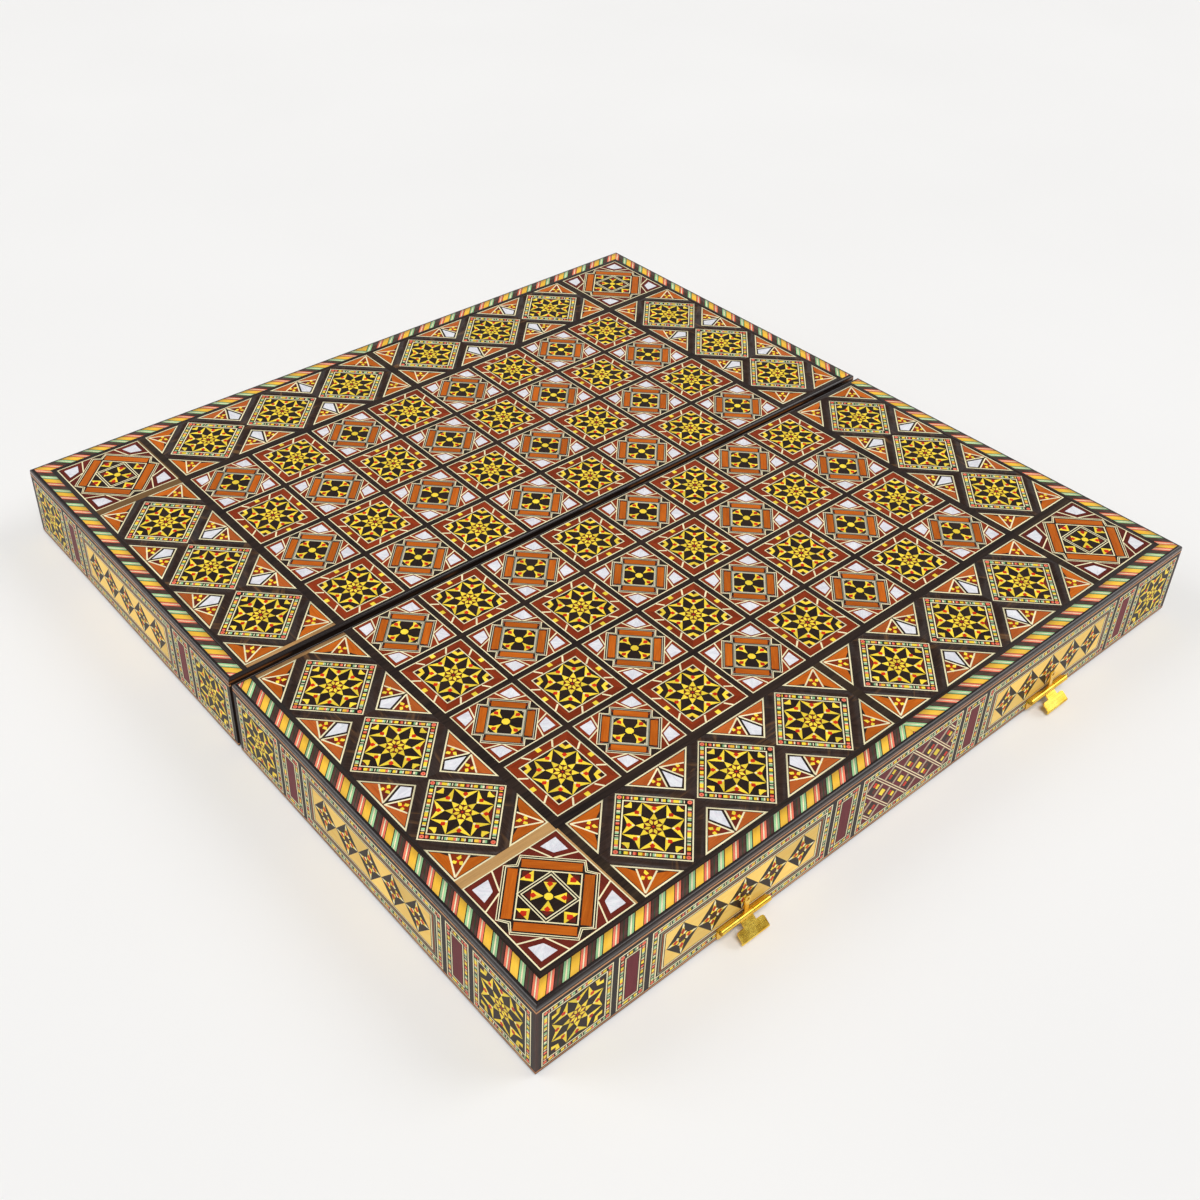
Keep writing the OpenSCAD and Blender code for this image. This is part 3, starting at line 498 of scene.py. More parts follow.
def cornerTile():
    h = case["border"] / 2
    kite = [(24.1, 24.2), (15.2, 24.2), (17.5, 17.9), (17.9, 17.5), (24.2, 15.2), (24.2, 24.1)]
    ground = [
        piece("ebony", [(0, 0), (26.5, -3.7), (26.5, 3.7)]),
        piece("ebony", [(0, 0), (25.9, 4.8), (4.8, 25.9)]),
    ]
    shapes = nested([(h, "cream"), (h - .65, "ebony")]) + mitredFrame("maroon", h - .85, 16)
    shapes += around(shellCorner((15.2, 16.0), (10.9, 26.9), kite), 4) + around(ground, 4)
    shapes += notchedLine(26.1, 4.85, 22.9, .42, "cream") + notchedLine(25.0, 4.4, 21.8, .46, "cream")
    shapes += around([piece("orange", rect(-13.9, 15.2, 13.9, 19.8), 0)], 4, 45)
    shapes += spun(nested([(14.55, "ebony"), (14.3, "cream"), (13.65, "ebony")]), 45)
    outerFan = [
        piece("maroon", [(18.3, 0), (15.6, 2.6), (15.6, -2.6)]),
        piece("yellow", [(10.6, 0), (15.5, -4.3), (15.5, 0)], 0),
        piece("yellow", [(10.6, 0), (15.5, 0), (15.5, 4.3)], 0),
        piece("red", [(15.6, 1.3), (14.3, 1.7), (12.5, 0), (14.3, -1.7), (15.6, -1.3)], 0),
    ]
    innerFan = [
        piece("maroon", [(10.8, 0), (8.1, 2.8), (8.1, -2.8)]),
        piece("yellow", [(2.2, 0), (7.9, -3.0), (7.9, 0)], 0),
        piece("yellow", [(2.2, 0), (7.9, 0), (7.9, 3.0)], 0),
        piece("red", [(8.2, .6), (7.0, 1.5), (5.3, 0), (7.0, -1.5), (8.2, -.6)], 0),
    ]
    shapes += around(outerFan, 4)
    shapes += nested([(10.3, "cream"), (9.75, "ebony"), (9.0, "cream"), (8.45, "ebony")])
    return shapes + around(innerFan, 4, 45) + [piece("yellow", octagon(2.1), 0)]


# panels round the sides, each 38.6 mm high
panel = dict(halfHigh=19.3, star=20.0, bar=17.0, longFront=118.95, longEnd=115.7, lattice=79.0,
             lozenges=5, field=0.985, latticePitch=14.7, latticeLine=1.6)


def starPanel():
    return beadPanel(panel["star"], panel["halfHigh"]) + steppedStar()


def barPanel():
    hy, hx = panel["halfHigh"], panel["bar"] / 2
    return beadPanel(hx, hy, .7, 3.1, .52) + [piece("plum", rect(-3.5, -14.3, 3.5, 14.3), 90)]


def lozenge(hw, hh):
    # black lozenge with a four-pointed mosaic star
    def arm(reach, wide):
        point, neck, waist, core = reach * .97, reach * .72, reach * .6, reach * .42
        return [
            piece("yellow", [(0, 0), (wide * 1.25, 2.9), (wide * .8, 4.2), (0, point), (-wide * .8, 4.2),
                             (-wide * 1.25, 2.9)], 90),
            piece("cream", [(0, point), (-wide * .42, neck), (0, waist), (wide * .42, neck)], 90),
            piece("red", [(0, waist), (wide * .8, core), (0, reach * .24), (-wide * .8, core)], 90),
            piece("cream", [(wide * .75, 2.3), (wide * 1.55, 3.2), (wide * .9, 4.0), (wide * .3, 3.0)], 45),
        ]
    shapes = [piece("ebony", [(-hw, 0), (0, -hh), (hw, 0), (0, hh)])]
    for k in range(4):
        shapes += spun(arm(hw if k % 2 else hh, 1.75), 90 * k)
    centre = (("ebony", 2.5), ("maroon", 1.7), ("ebony", 1.1))
    return shapes + [piece(wood, octagon(radius)) for wood, radius in centre]


def longPanel(length):
    # nested frames round a light field with a row of lozenges
    hx, hy = length / 2, panel["halfHigh"]
    shapes = beadPanel(hx, hy)
    lines = ((0, "cream"), (.15, "ebony"), (.34, "grey"), (.48, "ebony"), (.58, "sienna"), (.68, "ebony"),
             (.78, "cream"), (.93, "ebony"))
    for t, wood in lines:
        x, y = hx - 3.2 - 5.4 * t, hy - 3.2 - 4.5 * t
        shapes.append(piece(wood, rect(-x, -y, x, y), 0))
    x, y = hx - 8.7, hy - 7.75
    shapes.append(piece("honey", rect(-x, -y, x, y), 0))
    pace, count = 2 * x * panel["field"] / panel["lozenges"], panel["lozenges"]
    centres = [(k - (count - 1) / 2) * pace for k in range(-1, count + 1)]
    for a, b in zip(centres, centres[1:]):
        for side in (-1, 1):
            wedge = piece("honey", [(a, side * y), (b, side * y), ((a + b) / 2, 0)], 0)
            shapes += within([wedge], ((1, 0), x), ((-1, 0), x))
    for c in centres[1:-1]:
        shapes += moved(lozenge(pace / 2, y - .2), c, 0)
    return shapes


def latticePanel():
    # lines where x + y or x - y is a multiple of the pitch, with cells between them
    hx, hy, pitch, line = panel["lattice"] / 2, panel["halfHigh"], panel["latticePitch"], panel["latticeLine"]
    x, y = hx - 4.3, hy - 4.6
    slip = np.array([.45, .45])  # the cream lines, all of one direction, run in pairs
    cells = [piece("plum", rect(-x, -y, x, y), 0)]
    for j in range(-4, 4):
        for k in range(-4, 4):
            at = np.array([(j + k + 1) * pitch / 2, (j - k) * pitch / 2])
            if j == k:
                cells += moved([piece("ebony", turned(rect(-2.7, -2.2, 2.7, 2.2), -45)),
                                piece("yellow", turned(rect(-2.3, -1.8, 2.3, 1.8), -45))], *at)
            elif abs(j - k) == 1:
                tiles = [piece("ebony", turned(square(3.7), 45))]
                for i, wood in enumerate(("maroon", "yellow", "red", "ebony")):
                    tiles += spun([piece(wood, rect(.25, .25, 2.9, 2.9))], 45 + 90 * (i + j))
                cells += moved(tiles, *at)
            low = np.array([(j + k) * pitch / 2, (j - k) * pitch / 2])
            high = np.array([(j + k + 1) * pitch / 2, (j - k + 1) * pitch / 2])
            trim = (high - low) / pitch * line
            cells += [piece("ash", bar(low + trim, high - trim, line)),
                      piece("sienna", bar(low + trim, high - trim, .35))]
    for k in range(-5, 6):
        for side in (-1, 1):
            top, foot = slip * side + (k * pitch - 16, 16), slip * side + (k * pitch + 16, -16)
            cells.append(piece("cream", bar(top, foot, .5)))
    return beadPanel(hx, hy) + within(cells, ((1, 0), x), ((-1, 0), x), ((0, 1), y), ((0, -1), y))


def partition(shapes):
    # every outline cuts the others; a triangle shows the topmost piece that covers it, and holes drop out
    points, faces = [], []
    for outline, wood, grain in shapes:
        area = np.sum(outline[:, 0] * np.roll(outline[:, 1], -1) - outline[:, 1] * np.roll(outline[:, 0], -1))
        outline = outline if area > 0 else outline[::-1]
        faces.append(list(range(len(points), len(points) + len(outline))))
        points += [Vector(p) for p in outline.tolist()]
    found = delaunay_2d_cdt(points, [], faces, 1, 1e-4)
    corner = np.array([v[:] for v in found[0]])
    tri = np.array(found[2])
    top = np.array([max(f) if f else 0 for f in found[5]])
    wood = np.array([bucket.index(s[1]) for s in shapes])
    p = corner[tri]
    u, v = p[:, 1] - p[:, 0], p[:, 2] - p[:, 0]
    area = u[:, 0] * v[:, 1] - v[:, 0] * u[:, 1]
    tri[area < 0] = tri[area < 0][:, ::-1]
    kept = wood[top] != bucket.index("hole")
    tri, top = tri[kept], top[kept]
    used, tri = np.unique(tri, return_inverse=True)
    tri = tri.reshape(-1, 3)
    edge = np.concatenate([tri[:, [0, 1]], tri[:, [1, 2]], tri[:, [2, 0]]])
    n = len(used)
    # an edge that is met once is an outer one
    rim = ~np.isin(edge[:, 0] * n + edge[:, 1], edge[:, 1] * n + edge[:, 0])
    owner = np.tile(np.arange(len(tri)), 3)[rim]
    return dict(corner=corner[used], tri=tri, top=top, rim=edge[rim], rimOwner=owner, wood=wood,
                grain=np.array([s[2] for s in shapes], float))


# how the grain of each piece varies: shift in millimetres, turn in degrees, and the shift of its back face
scatter = dict(slide=400, turn=4, back=0.37)


def lay(name, body, replaced, patterns, placements, plane):
    # placements: (pattern, 2x2 matrix, offset) in drawing millimetres; plane: origin, two axes, outward
    # normal. Each copy is a sheet of triangles, its back face one veneer lower, and a wall round its rim.
    origin, along, across, normal = (np.array(v, float) for v in plane)
    mirrored = np.dot(np.cross(along, across), normal) < 0
    cut = {key: partition(shapes) for key, shapes in patterns.items()}
    coords, tris, woodOf, grainMap, toneOf = [], [], [], [], []
    base = 0
    for key, matrix, offset in placements:
        c = cut[key]
        matrix = np.array(matrix, float)
        flat = c["corner"] @ matrix.T + offset
        n = len(flat)
        face = origin + flat[:, :1] * along + flat[:, 1:] * across
        coords += [face, face - normal * case["veneer"]]
        flip = (np.linalg.det(matrix) < 0) != mirrored
        t = c["tri"][:, ::-1] if flip else c["tri"]
        a, b = (c["rim"].T[::-1] if flip else c["rim"].T)
        wall = np.concatenate([np.stack([b, a, a + n], 1), np.stack([b, a + n, b + n], 1)])
        everyTri = np.concatenate([t, t[:, ::-1] + n, wall])
        shape = np.concatenate([c["top"], c["top"], np.tile(c["top"][c["rimOwner"]], 2)])
        tris.append(everyTri + base)
        base += 2 * n
        woodOf.append(c["wood"][shape])
        toneOf.append(rng.random(len(c["wood"]))[shape])
        slides = rng.random((len(c["wood"]), 2)) * scatter["slide"]
        turns = np.radians(c["grain"] + rng.normal(0, scatter["turn"], len(c["grain"])))
        local = np.concatenate([c["corner"], c["corner"] + scatter["back"]])[everyTri]
        u, v = local[..., 0], local[..., 1]
        cos, sin = np.cos(turns)[shape][:, None], np.sin(turns)[shape][:, None]
        alongGrain = np.stack([u * cos + v * sin, v * cos - u * sin], -1)
        grainMap.append(alongGrain + slides[shape][:, None, :])
    coords, tris, woodOf = np.concatenate(coords), np.concatenate(tris), np.concatenate(woodOf)
    mesh = bpy.data.meshes.new(name)
    used = np.unique(woodOf)
    for w in used:
        mesh.materials.append(materials[bucket[w]])
    mesh.vertices.add(len(coords))
    mesh.vertices.foreach_set("co", (coords / 1000).ravel())
    mesh.loops.add(tris.size)
    mesh.loops.foreach_set("vertex_index", tris.ravel().astype(np.int32))
    mesh.polygons.add(len(tris))
    mesh.polygons.foreach_set("loop_start", np.arange(0, tris.size, 3, dtype=np.int32))
    mesh.polygons.foreach_set("material_index", np.searchsorted(used, woodOf).astype(np.int32))
    mesh.update(calc_edges=True)
    grainMap, toneOf = np.concatenate(grainMap).astype(np.float32), np.concatenate(toneOf).astype(np.float32)
    mesh.uv_layers.new(name="grain").uv.foreach_set("vector", grainMap.reshape(-1))
    mesh.attributes.new("tone", "FLOAT", "FACE").data.foreach_set("value", toneOf)
    ob = bpy.data.objects.new(name, mesh)
    bpy.context.collection.objects.link(ob)
    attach(ob, body)
    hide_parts(*replaced)
    print(name, len(tris), "triangles")


def topPlane(far):
    # drawing X along the hinge line, drawing Y outward from it
    return ((0, case["centreY"], case["top"]), (1, 0, 0), (0, 1 if far else -1, 0), (0, 0, 1))


def squarePlaces(parity):
    # centres of the squares of one colour
    return [(c * case["pitch"] - case["fieldHalf"] + case["square"] / 2,
             case["fieldStart"] + r * case["pitch"] + case["square"] / 2)
            for r in range(4) for c in range(8) if (r + c) % 2 == parity]


def runs():
    # each border run as (length, matrix, offset): drawing X along it, drawing Y from its inner side out
    inner = case["fieldHalf"] + case["strip"]
    start = case["fieldEnd"] + case["strip"]
    found = []
    for side in (1, -1):
        longStart = np.array([side * case["strip"] / 2, start])
        endStart = np.array([side * inner, case["fieldEnd"]])
        found.append((case["longRun"], np.array([(side, 0), (0, 1)], float), longStart))
        found.append((case["endRun"], np.array([(0, side), (-1, 0)], float), endStart))
    return found


def runSizes(length):
    # a lozenge of half sides a, b covers |x| / a + |y| / b <= 1; the triangles keep one strip away from it
    pace = (length - 2 * case["runMargin"]) / 3
    a, b = pace / 2 - case["starInset"], case["border"] / 2 - case["starInset"]
    big = pace / 2 / a + case["border"] / 2 / b - 1 - case["strip"] * math.hypot(1 / a, 1 / b)
    return pace, a, b, big, big + case["runMargin"] / a


def starPlaces():
    places = []
    for length, matrix, offset in runs():
        pace, a, b, _, _ = runSizes(length)
        for i in range(3):
            at = np.array([case["runMargin"] + (i + .5) * pace, case["border"] / 2])
            size = np.diag([a / drawn["lozenge"], b / drawn["lozenge"]])
            places.append(("star", matrix @ size, matrix @ at + offset))
    return places


def trianglePlaces():
    places = []
    for length, matrix, offset in runs():
        pace, a, b, big, small = runSizes(length)
        bigSize = np.diag([big * a / drawn["bigHalf"], big * b / drawn["bigDeep"]])
        smallSize = np.diag([small * a / drawn["smallWide"], small * b / drawn["smallDeep"]])
        for low in (True, False):
            m = matrix @ np.diag([1, 1 if low else -1])
            shift = matrix @ np.array([0, 0 if low else case["border"]]) + offset
            for i in (1, 2):
                at = matrix @ np.array([case["runMargin"] + i * pace, 0])
                places.append(("big", m @ bigSize, at + shift))
            end = matrix @ np.array([length, 0])
            places.append(("small", m @ smallSize, shift))
            places.append(("small", m @ np.diag([-1, 1]) @ smallSize, end + shift))
    return places


# striped banding: the stripes point to the middle of the board, in this order from the middle outward
stripeRow = [("golden", 5.0), ("ebony", .55), ("green", 1.35), ("cream", 1.0), ("green", 1.35),
             ("ebony", .5), ("mauve", 1.75), ("darkGreen", .55), ("mauve", 1.75), ("ebony", .5),
             ("salmon", 1.45), ("cream", .9), ("salmon", 1.45), ("ebony", .4)]


def stripes(x0, x1, width, phase):
    # slanted bands x - y = constant inside 0 <= y <= width
    row = sum(w for _, w in stripeRow)
    shapes, x = [], x0 - width - row + phase % row
    while x < x1 + width:
        for wood, w in stripeRow:
            a, b = x + crack, x + w - crack
            shapes.append(piece(wood, [(a, 0), (b, 0), (b + width, width), (a + width, width)], 45))
            x += w
    return within(shapes, ((1, 0), x1), ((-1, 0), -x0))


def bandingPatterns():
    # long strip of one quarter, from the middle out to the mitre; end strip, from the seam out to the mitre
    w, hair = case["banding"], case["hair"]
    reach, first, last = case["halfLength"] - case["bead"], case["fieldStart"], case["outer"] - case["bead"]
    mitre = reach - w - hair
    long = [piece("ebony", [(hair / 2, 0), (mitre, 0), (reach - hair, w), (hair / 2, w)], 0)]
    long += within(stripes(hair / 2, reach, w, 1.0), ((1, -1), mitre))
    end = [piece("ebony", [(first, 0), (last - w, 0), (last, w), (first, w)], 0)]
    return dict(long=long, end=end + within(stripes(first, last, w, 4.0), ((1, -1), last - w)))


def bandingPlaces():
    w, reach, last = case["banding"], case["halfLength"] - case["bead"], case["outer"] - case["bead"]
    places = []
    for side in (1, -1):
        places.append(("long", np.array([(side, 0), (0, 1)], float), (0, last - w)))
        places.append(("end", np.array([(0, side), (1, 0)], float), (side * (reach - w), 0)))
    return places


def groundPattern(length, extra, last="rosewood"):
    # dark strips between the stars of a run, each along its own grain, with holes for the inlays; the
    # last strip lies beside the seam
    pace, a, b, big, small = runSizes(length)
    deep = case["border"]
    shapes = [piece("rosewood", rect(0, 0, length, deep), 0)]
    if extra:
        shapes.append(piece(last, rect(length, 0, length + extra, deep), 90))
    for i in range(4):
        c = case["runMargin"] + i * pace
        for side in (-1, 1):
            far = c + side * pace / 2
            cross = [piece("rosewood", [(c, 0), (far, deep / 2), (far, 0)], 45 * side),
                     piece("rosewood", [(c, deep), (far, deep / 2), (far, deep)], -45 * side)]
            shapes += within(cross, ((1, 0), length), ((-1, 0), 0))
    for i in range(3):
        at = np.array([case["runMargin"] + (i + .5) * pace, deep / 2])
        shapes.append(piece("hole", np.array([(a, 0), (0, b), (-a, 0), (0, -b)]) + at))
    for low in (0, deep):
        up = 1 if low == 0 else -1
        for i in (1, 2):
            c = case["runMargin"] + i * pace
            shapes.append(piece("hole", [(c - big * a, low), (c + big * a, low), (c, low + up * big * b)]))
        for x, side in ((0, 1), (length, -1)):
            corner = [(x, low), (x + side * small * a, low), (x, low + up * small * b)]
            shapes.append(piece("hole", corner))
    return shapes


def blackVeneer():
    # mitred outer frame, and the ground of the four border runs
    w, hair = case["frameWidth"] - case["hair"], case["hair"]
    inset = case["bead"] + case["banding"]
    reach, last, first = case["halfLength"] - inset, case["outer"] - inset, case["fieldStart"]
    longSide = [(w + hair - reach, 0), (reach - w - hair, 0), (reach - hair, w), (hair - reach, w)]
    strips = dict(
        frameLong=[piece("ebony", longSide, 0)],
        frameEnd=[piece("ebony", [(first, 0), (last - w, 0), (last, w), (first, w)], 0)],
        longGround=groundPattern(case["longRun"], 0),
        endGround=groundPattern(case["endRun"], case["seamDark"]),
        leftGround=groundPattern(case["endRun"], case["seamDark"], "tan"),
    )
    places = [("frameLong", np.eye(2), (0, last - w))]
    for side in (1, -1):
        places.append(("frameEnd", np.array([(0, side), (1, 0)], float), (side * (reach - w), 0)))
    for kind, (_, matrix, offset) in zip(("longGround", "endGround", "longGround", "leftGround"), runs()):
        places.append((kind, matrix, offset))
    return strips, places


tiles = dict(star=starSquare(), pearl=pearlSquare(), corner=cornerTile())
borderTiles = dict(star=borderStar())
triangles = dict(big=bigTriangle(), small=endTriangle())
bands = bandingPatterns()
strips, stripPlaces = blackVeneer()
tileX, tileY = (case[edge] + case["strip"] + case["border"] / 2 for edge in ("fieldHalf", "fieldEnd"))
for half, far in (("near", False), ("far", True)):
    body, plane, keep = half + "_half", topPlane(far), np.eye(2)
    parity = 0 if far else 1
    lay(half + "_star_square_inlay", body, [half + "_star_squares"], dict(star=tiles["star"]),
        [("star", keep, at) for at in squarePlaces(parity)], plane)
    lay(half + "_pearl_square_inlay", body, [half + "_pearl_squares"],
        dict(pearl=tiles["pearl"]), [("pearl", keep, at) for at in squarePlaces(1 - parity)], plane)
    lay(half + "_border_star_inlay", body,
        [half + "_border_stars", half + "_star_inlays"], borderTiles, starPlaces(), plane)
    lay(half + "_border_triangle_inlay", body, [half + "_border_triangles"], triangles,
        trianglePlaces(), plane)
    lay(half + "_corner_tile_inlay", body, [half + "_corner_tiles"],
        dict(corner=tiles["corner"]), [("corner", keep, (x, tileY)) for x in (tileX, -tileX)], plane)
    lay(half + "_striped_banding_inlay", body, [half + "_banding"], bands,
        bandingPlaces(), plane)
    lay(half + "_black_veneer", body, [half + "_black_ground"], strips, stripPlaces, plane)
print("board faces laid")


# where the panels lie along the sides
sides = dict(margin=3.3, firstBar=54.9, secondBar=197.05, long=66.5)


def longFacePlaces():
    # centres along the long face, measured from its middle
    e = case["halfLength"]
    star, bar1, bar2 = e - sides["margin"] - panel["star"], e - sides["firstBar"], e - sides["secondBar"]
    long = e - sides["long"] - panel["longFront"] / 2
    return dict(star=[star, -star], bar=[bar1, -bar1, bar2, -bar2], longFront=[long, -long], lattice=[0])


def endFacePlaces():
    # centres along an end face, measured outward from the hinge line
    mid = (case["seam"] + case["outer"]) / 2
    star, bar = case["seam"] + sides["margin"] + panel["star"], case["seam"] + sides["firstBar"]
    return dict(star=[star, 2 * mid - star], bar=[bar, 2 * mid - bar], longEnd=[mid])


def sidePlanes(far):
    sy = 1 if far else -1
    z = (case["panelLow"] + case["panelHigh"]) / 2
    front = ((0, case["centreY"] + sy * case["outer"], z), (1, 0, 0), (0, 0, 1), (0, sy, 0))
    ends = [((side * case["halfLength"], case["centreY"], z), (0, sy, 0), (0, 0, 1), (side, 0, 0))
            for side in (1, -1)]
    return [(front, longFacePlaces())] + [(end, endFacePlaces()) for end in ends]


sidePatterns = dict(star=starPanel(), bar=barPanel(), longFront=longPanel(panel["longFront"]),
                    longEnd=longPanel(panel["longEnd"]), lattice=latticePanel())
sideSheets = [("_side_star_inlay", "side_star_mosaic", "_side_stars", ("star",)),
              ("_side_bar_inlay", "maroon_wood", "_side_bars", ("bar",)),
              ("_side_long_inlay", "side_yellow_mosaic", "_side_mosaics",
               ("longFront", "longEnd", "lattice"))]
for half, far in (("near", False), ("far", True)):
    for ending, slot, node, kinds in sideSheets:
        for i, (plane, centres) in enumerate(sidePlanes(far)):
            shown = [k for k in kinds if k in centres]
            lay(f"{half}{ending}_{i}", half + "_half", [half + node],
                {k: sidePatterns[k] for k in shown},
                [(k, np.eye(2), (x, 0)) for k in shown for x in centres[k]], plane)
print("side panels laid")


def boardWood(name, light, dark, grain=(1, 0, 0), rough=0.45, coat=0.05, accent=None):
    # solid wood: long fibres along one axis, slow figure; accent paints part of it another colour
    g = Graph(name)
    place, parts = g.place()
    long = np.array(grain, float)
    fibre = g.noise(place, tuple((1 - long) * 900 + long * 40), 4.0, 0.6, 0.3)
    figure = g.noise(place, tuple((1 - long) * 130 + long * 9), 2.0, 0.5, 0.8)
    base = g.mix(g.spread(fibre * 0.45 + figure * 0.55, 0.36, 0.64), linear(dark), linear(light))
    if accent:
        base = accent(g, place, parts, base, fibre)
    return g.finish(Base_Color=base, Roughness=g.spread(fibre, 0.3, 0.7, rough - 0.05, rough + 0.06),
                    Normal=g.bump(fibre), Specular_IOR_Level=0.2, Coat_Weight=coat, Coat_Roughness=0.07)


def lightEnds(colour, edge=-0.1795):
    # the strips of the left end, beyond this edge in metres, are of lighter wood
    def paint(g, place, parts, base, fibre):
        return g.mix((parts[0] < edge) * g.spread(fibre, 0.3, 0.6, 0.8, 1.0), base, linear(colour))
    return paint


def wornEdges(g, place, parts, base, fibre):
    # lacquer rubbed through along the lower edge of the bead
    low = g.spread(parts[2], (case["top"] - 2.2) / 1000, (case["top"] - 1.2) / 1000, 1.0, 0.0)
    rubbed = g.spread(g.noise(place, (14, 14, 60), 3.0, 0.6, 0.5), 0.5, 0.62)
    return g.mix(low * rubbed * 0.85, base, linear((168, 104, 56)))


def wornCorners(g, place, parts, base, fibre):
    # reddish wood shows faintly at the upright corners
    along = g.spread(abs(parts[0]), 0.2458, 0.2474)
    across = g.spread(abs(parts[1] - case["centreY"] / 1000), 0.2480, 0.2496)
    return g.mix(along * across * g.spread(fibre, 0.35, 0.6, 0.2, 0.9), base, linear((72, 38, 28)))


def seamShadePaint(g, place, parts, base, fibre):
    # painted shade: the board is painted near-black 3.5 mm to each side of the hinge line, for the shade in
    # the seam between the halves
    seam = abs(parts[1] - case["centreY"] / 1000) < 0.0035
    return g.mix(seam * g.spread(fibre, 0.3, 0.6, 0.9, 1.0), base, linear((30, 21, 18)))


def brass(name, rough=0.2):
    # polished yellow brass with darker worn patches and drawn lines along X
    g = Graph(name)
    place, _ = g.place()
    cloud = g.noise(place, 160.0, 4.0, 0.6)
    line = g.noise(place, (90, 2600, 2600), 2.0, 0.5)
    base = g.mix(g.spread(cloud, 0.35, 0.7), linear((242, 190, 62)), linear((255, 226, 104)))
    base = g.mix(g.spread(line, 0.52, 0.7, 0.0, 0.3), base, linear((196, 142, 40)))
    return g.finish(Base_Color=base, Metallic=1.0, Normal=g.bump(line, 0.05, 0.0001),
                    Roughness=g.spread(cloud * 0.6 + line * 0.4, 0.35, 0.65, rough - 0.08, rough + 0.06))


nodeWoods = dict(
    field_ground=boardWood("ground_ebony", (54, 40, 32), (25, 18, 15)),
    edge_bead=boardWood("lacquered_bead", (40, 29, 25), (18, 13, 12), rough=0.3, coat=0.8, accent=wornEdges),
    near_dividers=boardWood("near_divider_wood", (62, 48, 34), (32, 23, 18),
                            accent=lightEnds((196, 152, 96))),
    far_dividers=boardWood("far_divider_wood", (62, 48, 34), (32, 23, 18),
                           accent=lightEnds((118, 88, 52))),
    side_ground=boardWood("side_walnut", (42, 30, 25), (21, 15, 13), accent=wornCorners),
    side_lines=boardWood("rail_line_wood", (222, 162, 108), (164, 104, 60)),
    front_wall=boardWood("case_wood_x", (150, 96, 54), (104, 62, 34), rough=0.5),
    left_wall=boardWood("case_wood_y", (150, 96, 54), (104, 62, 34), (0, 1, 0), rough=0.5),
    seam_wall=boardWood("seam_wood", (66, 44, 31), (34, 23, 18)),
    # the board gets painted shade along the seam between the halves
    board=boardWood("board_wood", (172, 128, 78), (128, 88, 50), rough=0.55, coat=0.0, accent=seamShadePaint),
    lining=boardWood("lining_wood", (158, 104, 60), (112, 66, 36)),
    points_light=boardWood("light_point_wood", (226, 184, 116), (190, 140, 78)),
    points_dark=boardWood("dark_point_wood", (84, 50, 36), (46, 28, 22)),
    metal=brass("polished_brass"),
    pin=brass("pin_brass", 0.26),
)
nodeWoods.update(back_wall=nodeWoods["front_wall"], right_wall=nodeWoods["left_wall"])
for name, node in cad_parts.items():
    kind = name.split("_", 1)[1] if name.startswith(("near_", "far_")) else name
    pick = nodeWoods.get(name) or nodeWoods.get(kind) or nodeWoods["pin" if "pin" in name else "metal"]
    node.data.materials.clear()
    node.data.materials.append(pick)
print("CAD nodes finished")

# soft lamps: direction they come from, what they add on a face turned to them, how wide they are in degrees
studio = dict(
    world=0.22, floor=6.0, floorGap=0.0002, pale=(0.90, 0.895, 0.89),
    key=dict(way=(-0.27, -0.42, 0.866), level=0.64, wide=26),
    fill=dict(way=(0.64, -0.37, 0.67), level=0.21, wide=34),
    side=dict(way=(-0.593, 0.53, 0.605), level=0.20, wide=34),
)


def floorMaterial():
    g = Graph("pale_floor")
    place, _ = g.place()
    haze = g.noise(place, 3.0, 2.0, 0.5)
    return g.finish(Base_Color=g.mix(haze, linear((240, 239, 237)), linear((246, 245, 243))), Roughness=0.8)


floorMesh = bpy.data.meshes.new("floor")
floorMesh.from_pydata([(x, y, -studio["floorGap"]) for x, y in square(studio["floor"]).tolist()], [],
                      [(0, 1, 2, 3)])
floorMesh.materials.append(floorMaterial())
floor = bpy.data.objects.new("floor", floorMesh)
bpy.context.collection.objects.link(floor)

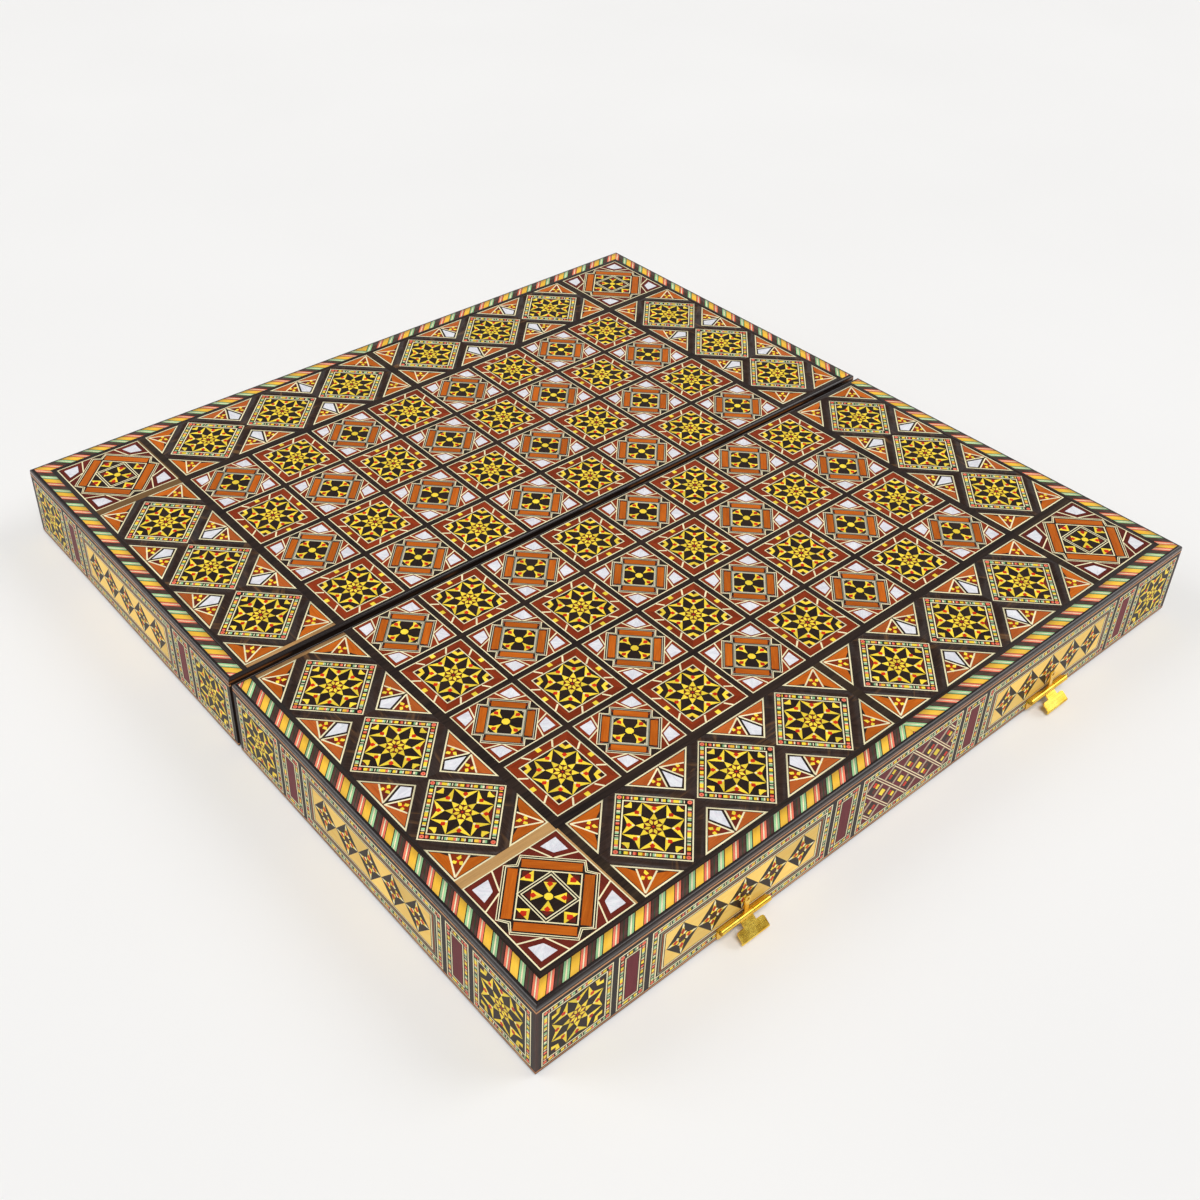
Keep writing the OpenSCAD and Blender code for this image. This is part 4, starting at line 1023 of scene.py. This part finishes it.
for name in ("key", "fill", "side"):
    lamp = studio[name]
    light = bpy.data.lights.new(name, "SUN")
    light.energy, light.angle = lamp["level"] * math.pi, math.radians(lamp["wide"])
    ob = bpy.data.objects.new(name, light)
    ob.matrix_world = Vector(lamp["way"]).to_track_quat("Z", "Y").to_matrix().to_4x4()
    bpy.context.collection.objects.link(ob)

# world: soft light, and a pale band round the horizon that only the camera and mirror rays see
sky = bpy.data.worlds.new("studio")
dome = Graph("studio", sky, "ShaderNodeOutputWorld")
seen = sum(dome.node("ShaderNodeLightPath", None, None, i) for i in (0, 3, 6))  # camera, glossy, transmission
height = dome.node("ShaderNodeSeparateXYZ", None, {0: dome.node("ShaderNodeTexCoord", None, None, 0)}, 2)
band = dome.spread(height, 0.12, 0.4, 1.0, 0.0)
soft = dome.node("ShaderNodeBackground", None, {0: (0.97, 0.97, 1.0, 1), 1: studio["world"]})
pale = dome.node("ShaderNodeBackground", None, {0: (*studio["pale"], 1), 1: 1.0})
mixed = dome.node("ShaderNodeMixShader", None, {0: seen * band, 1: soft, 2: pale})
dome.tree.links.new(mixed.socket, dome.out.inputs[0])
bpy.context.scene.world = sky

# the photograph's camera; its place is measured from the hinge line
shot = dict(
    at=(-0.479147, -0.523413, 0.563518),
    right=(0.769754, -0.638243, 0.011212),
    up=(0.36469, 0.454115, 0.812885),
    back=(-0.523909, -0.621632, 0.582317),
    focal=1436.07, centre=(541.72, 496.69), frameSize=1200, sensor=36,
)
cam = bpy.data.cameras.new("camera")
cam.sensor_width = shot["sensor"]
cam.lens = shot["focal"] / shot["frameSize"] * cam.sensor_width
cam.shift_x = 0.5 - shot["centre"][0] / shot["frameSize"]
cam.shift_y = shot["centre"][1] / shot["frameSize"] - 0.5
cam.clip_start = 0.02
camera = bpy.data.objects.new("camera", cam)
turn = Matrix([shot["right"], shot["up"], shot["back"]]).transposed().to_4x4()
camera.matrix_world = Matrix.Translation(Vector(shot["at"]) + Vector((0, case["centreY"] / 1000, 0))) @ turn
bpy.context.collection.objects.link(camera)
bpy.context.scene.camera = camera
bpy.context.scene.view_settings.view_transform = "Standard"
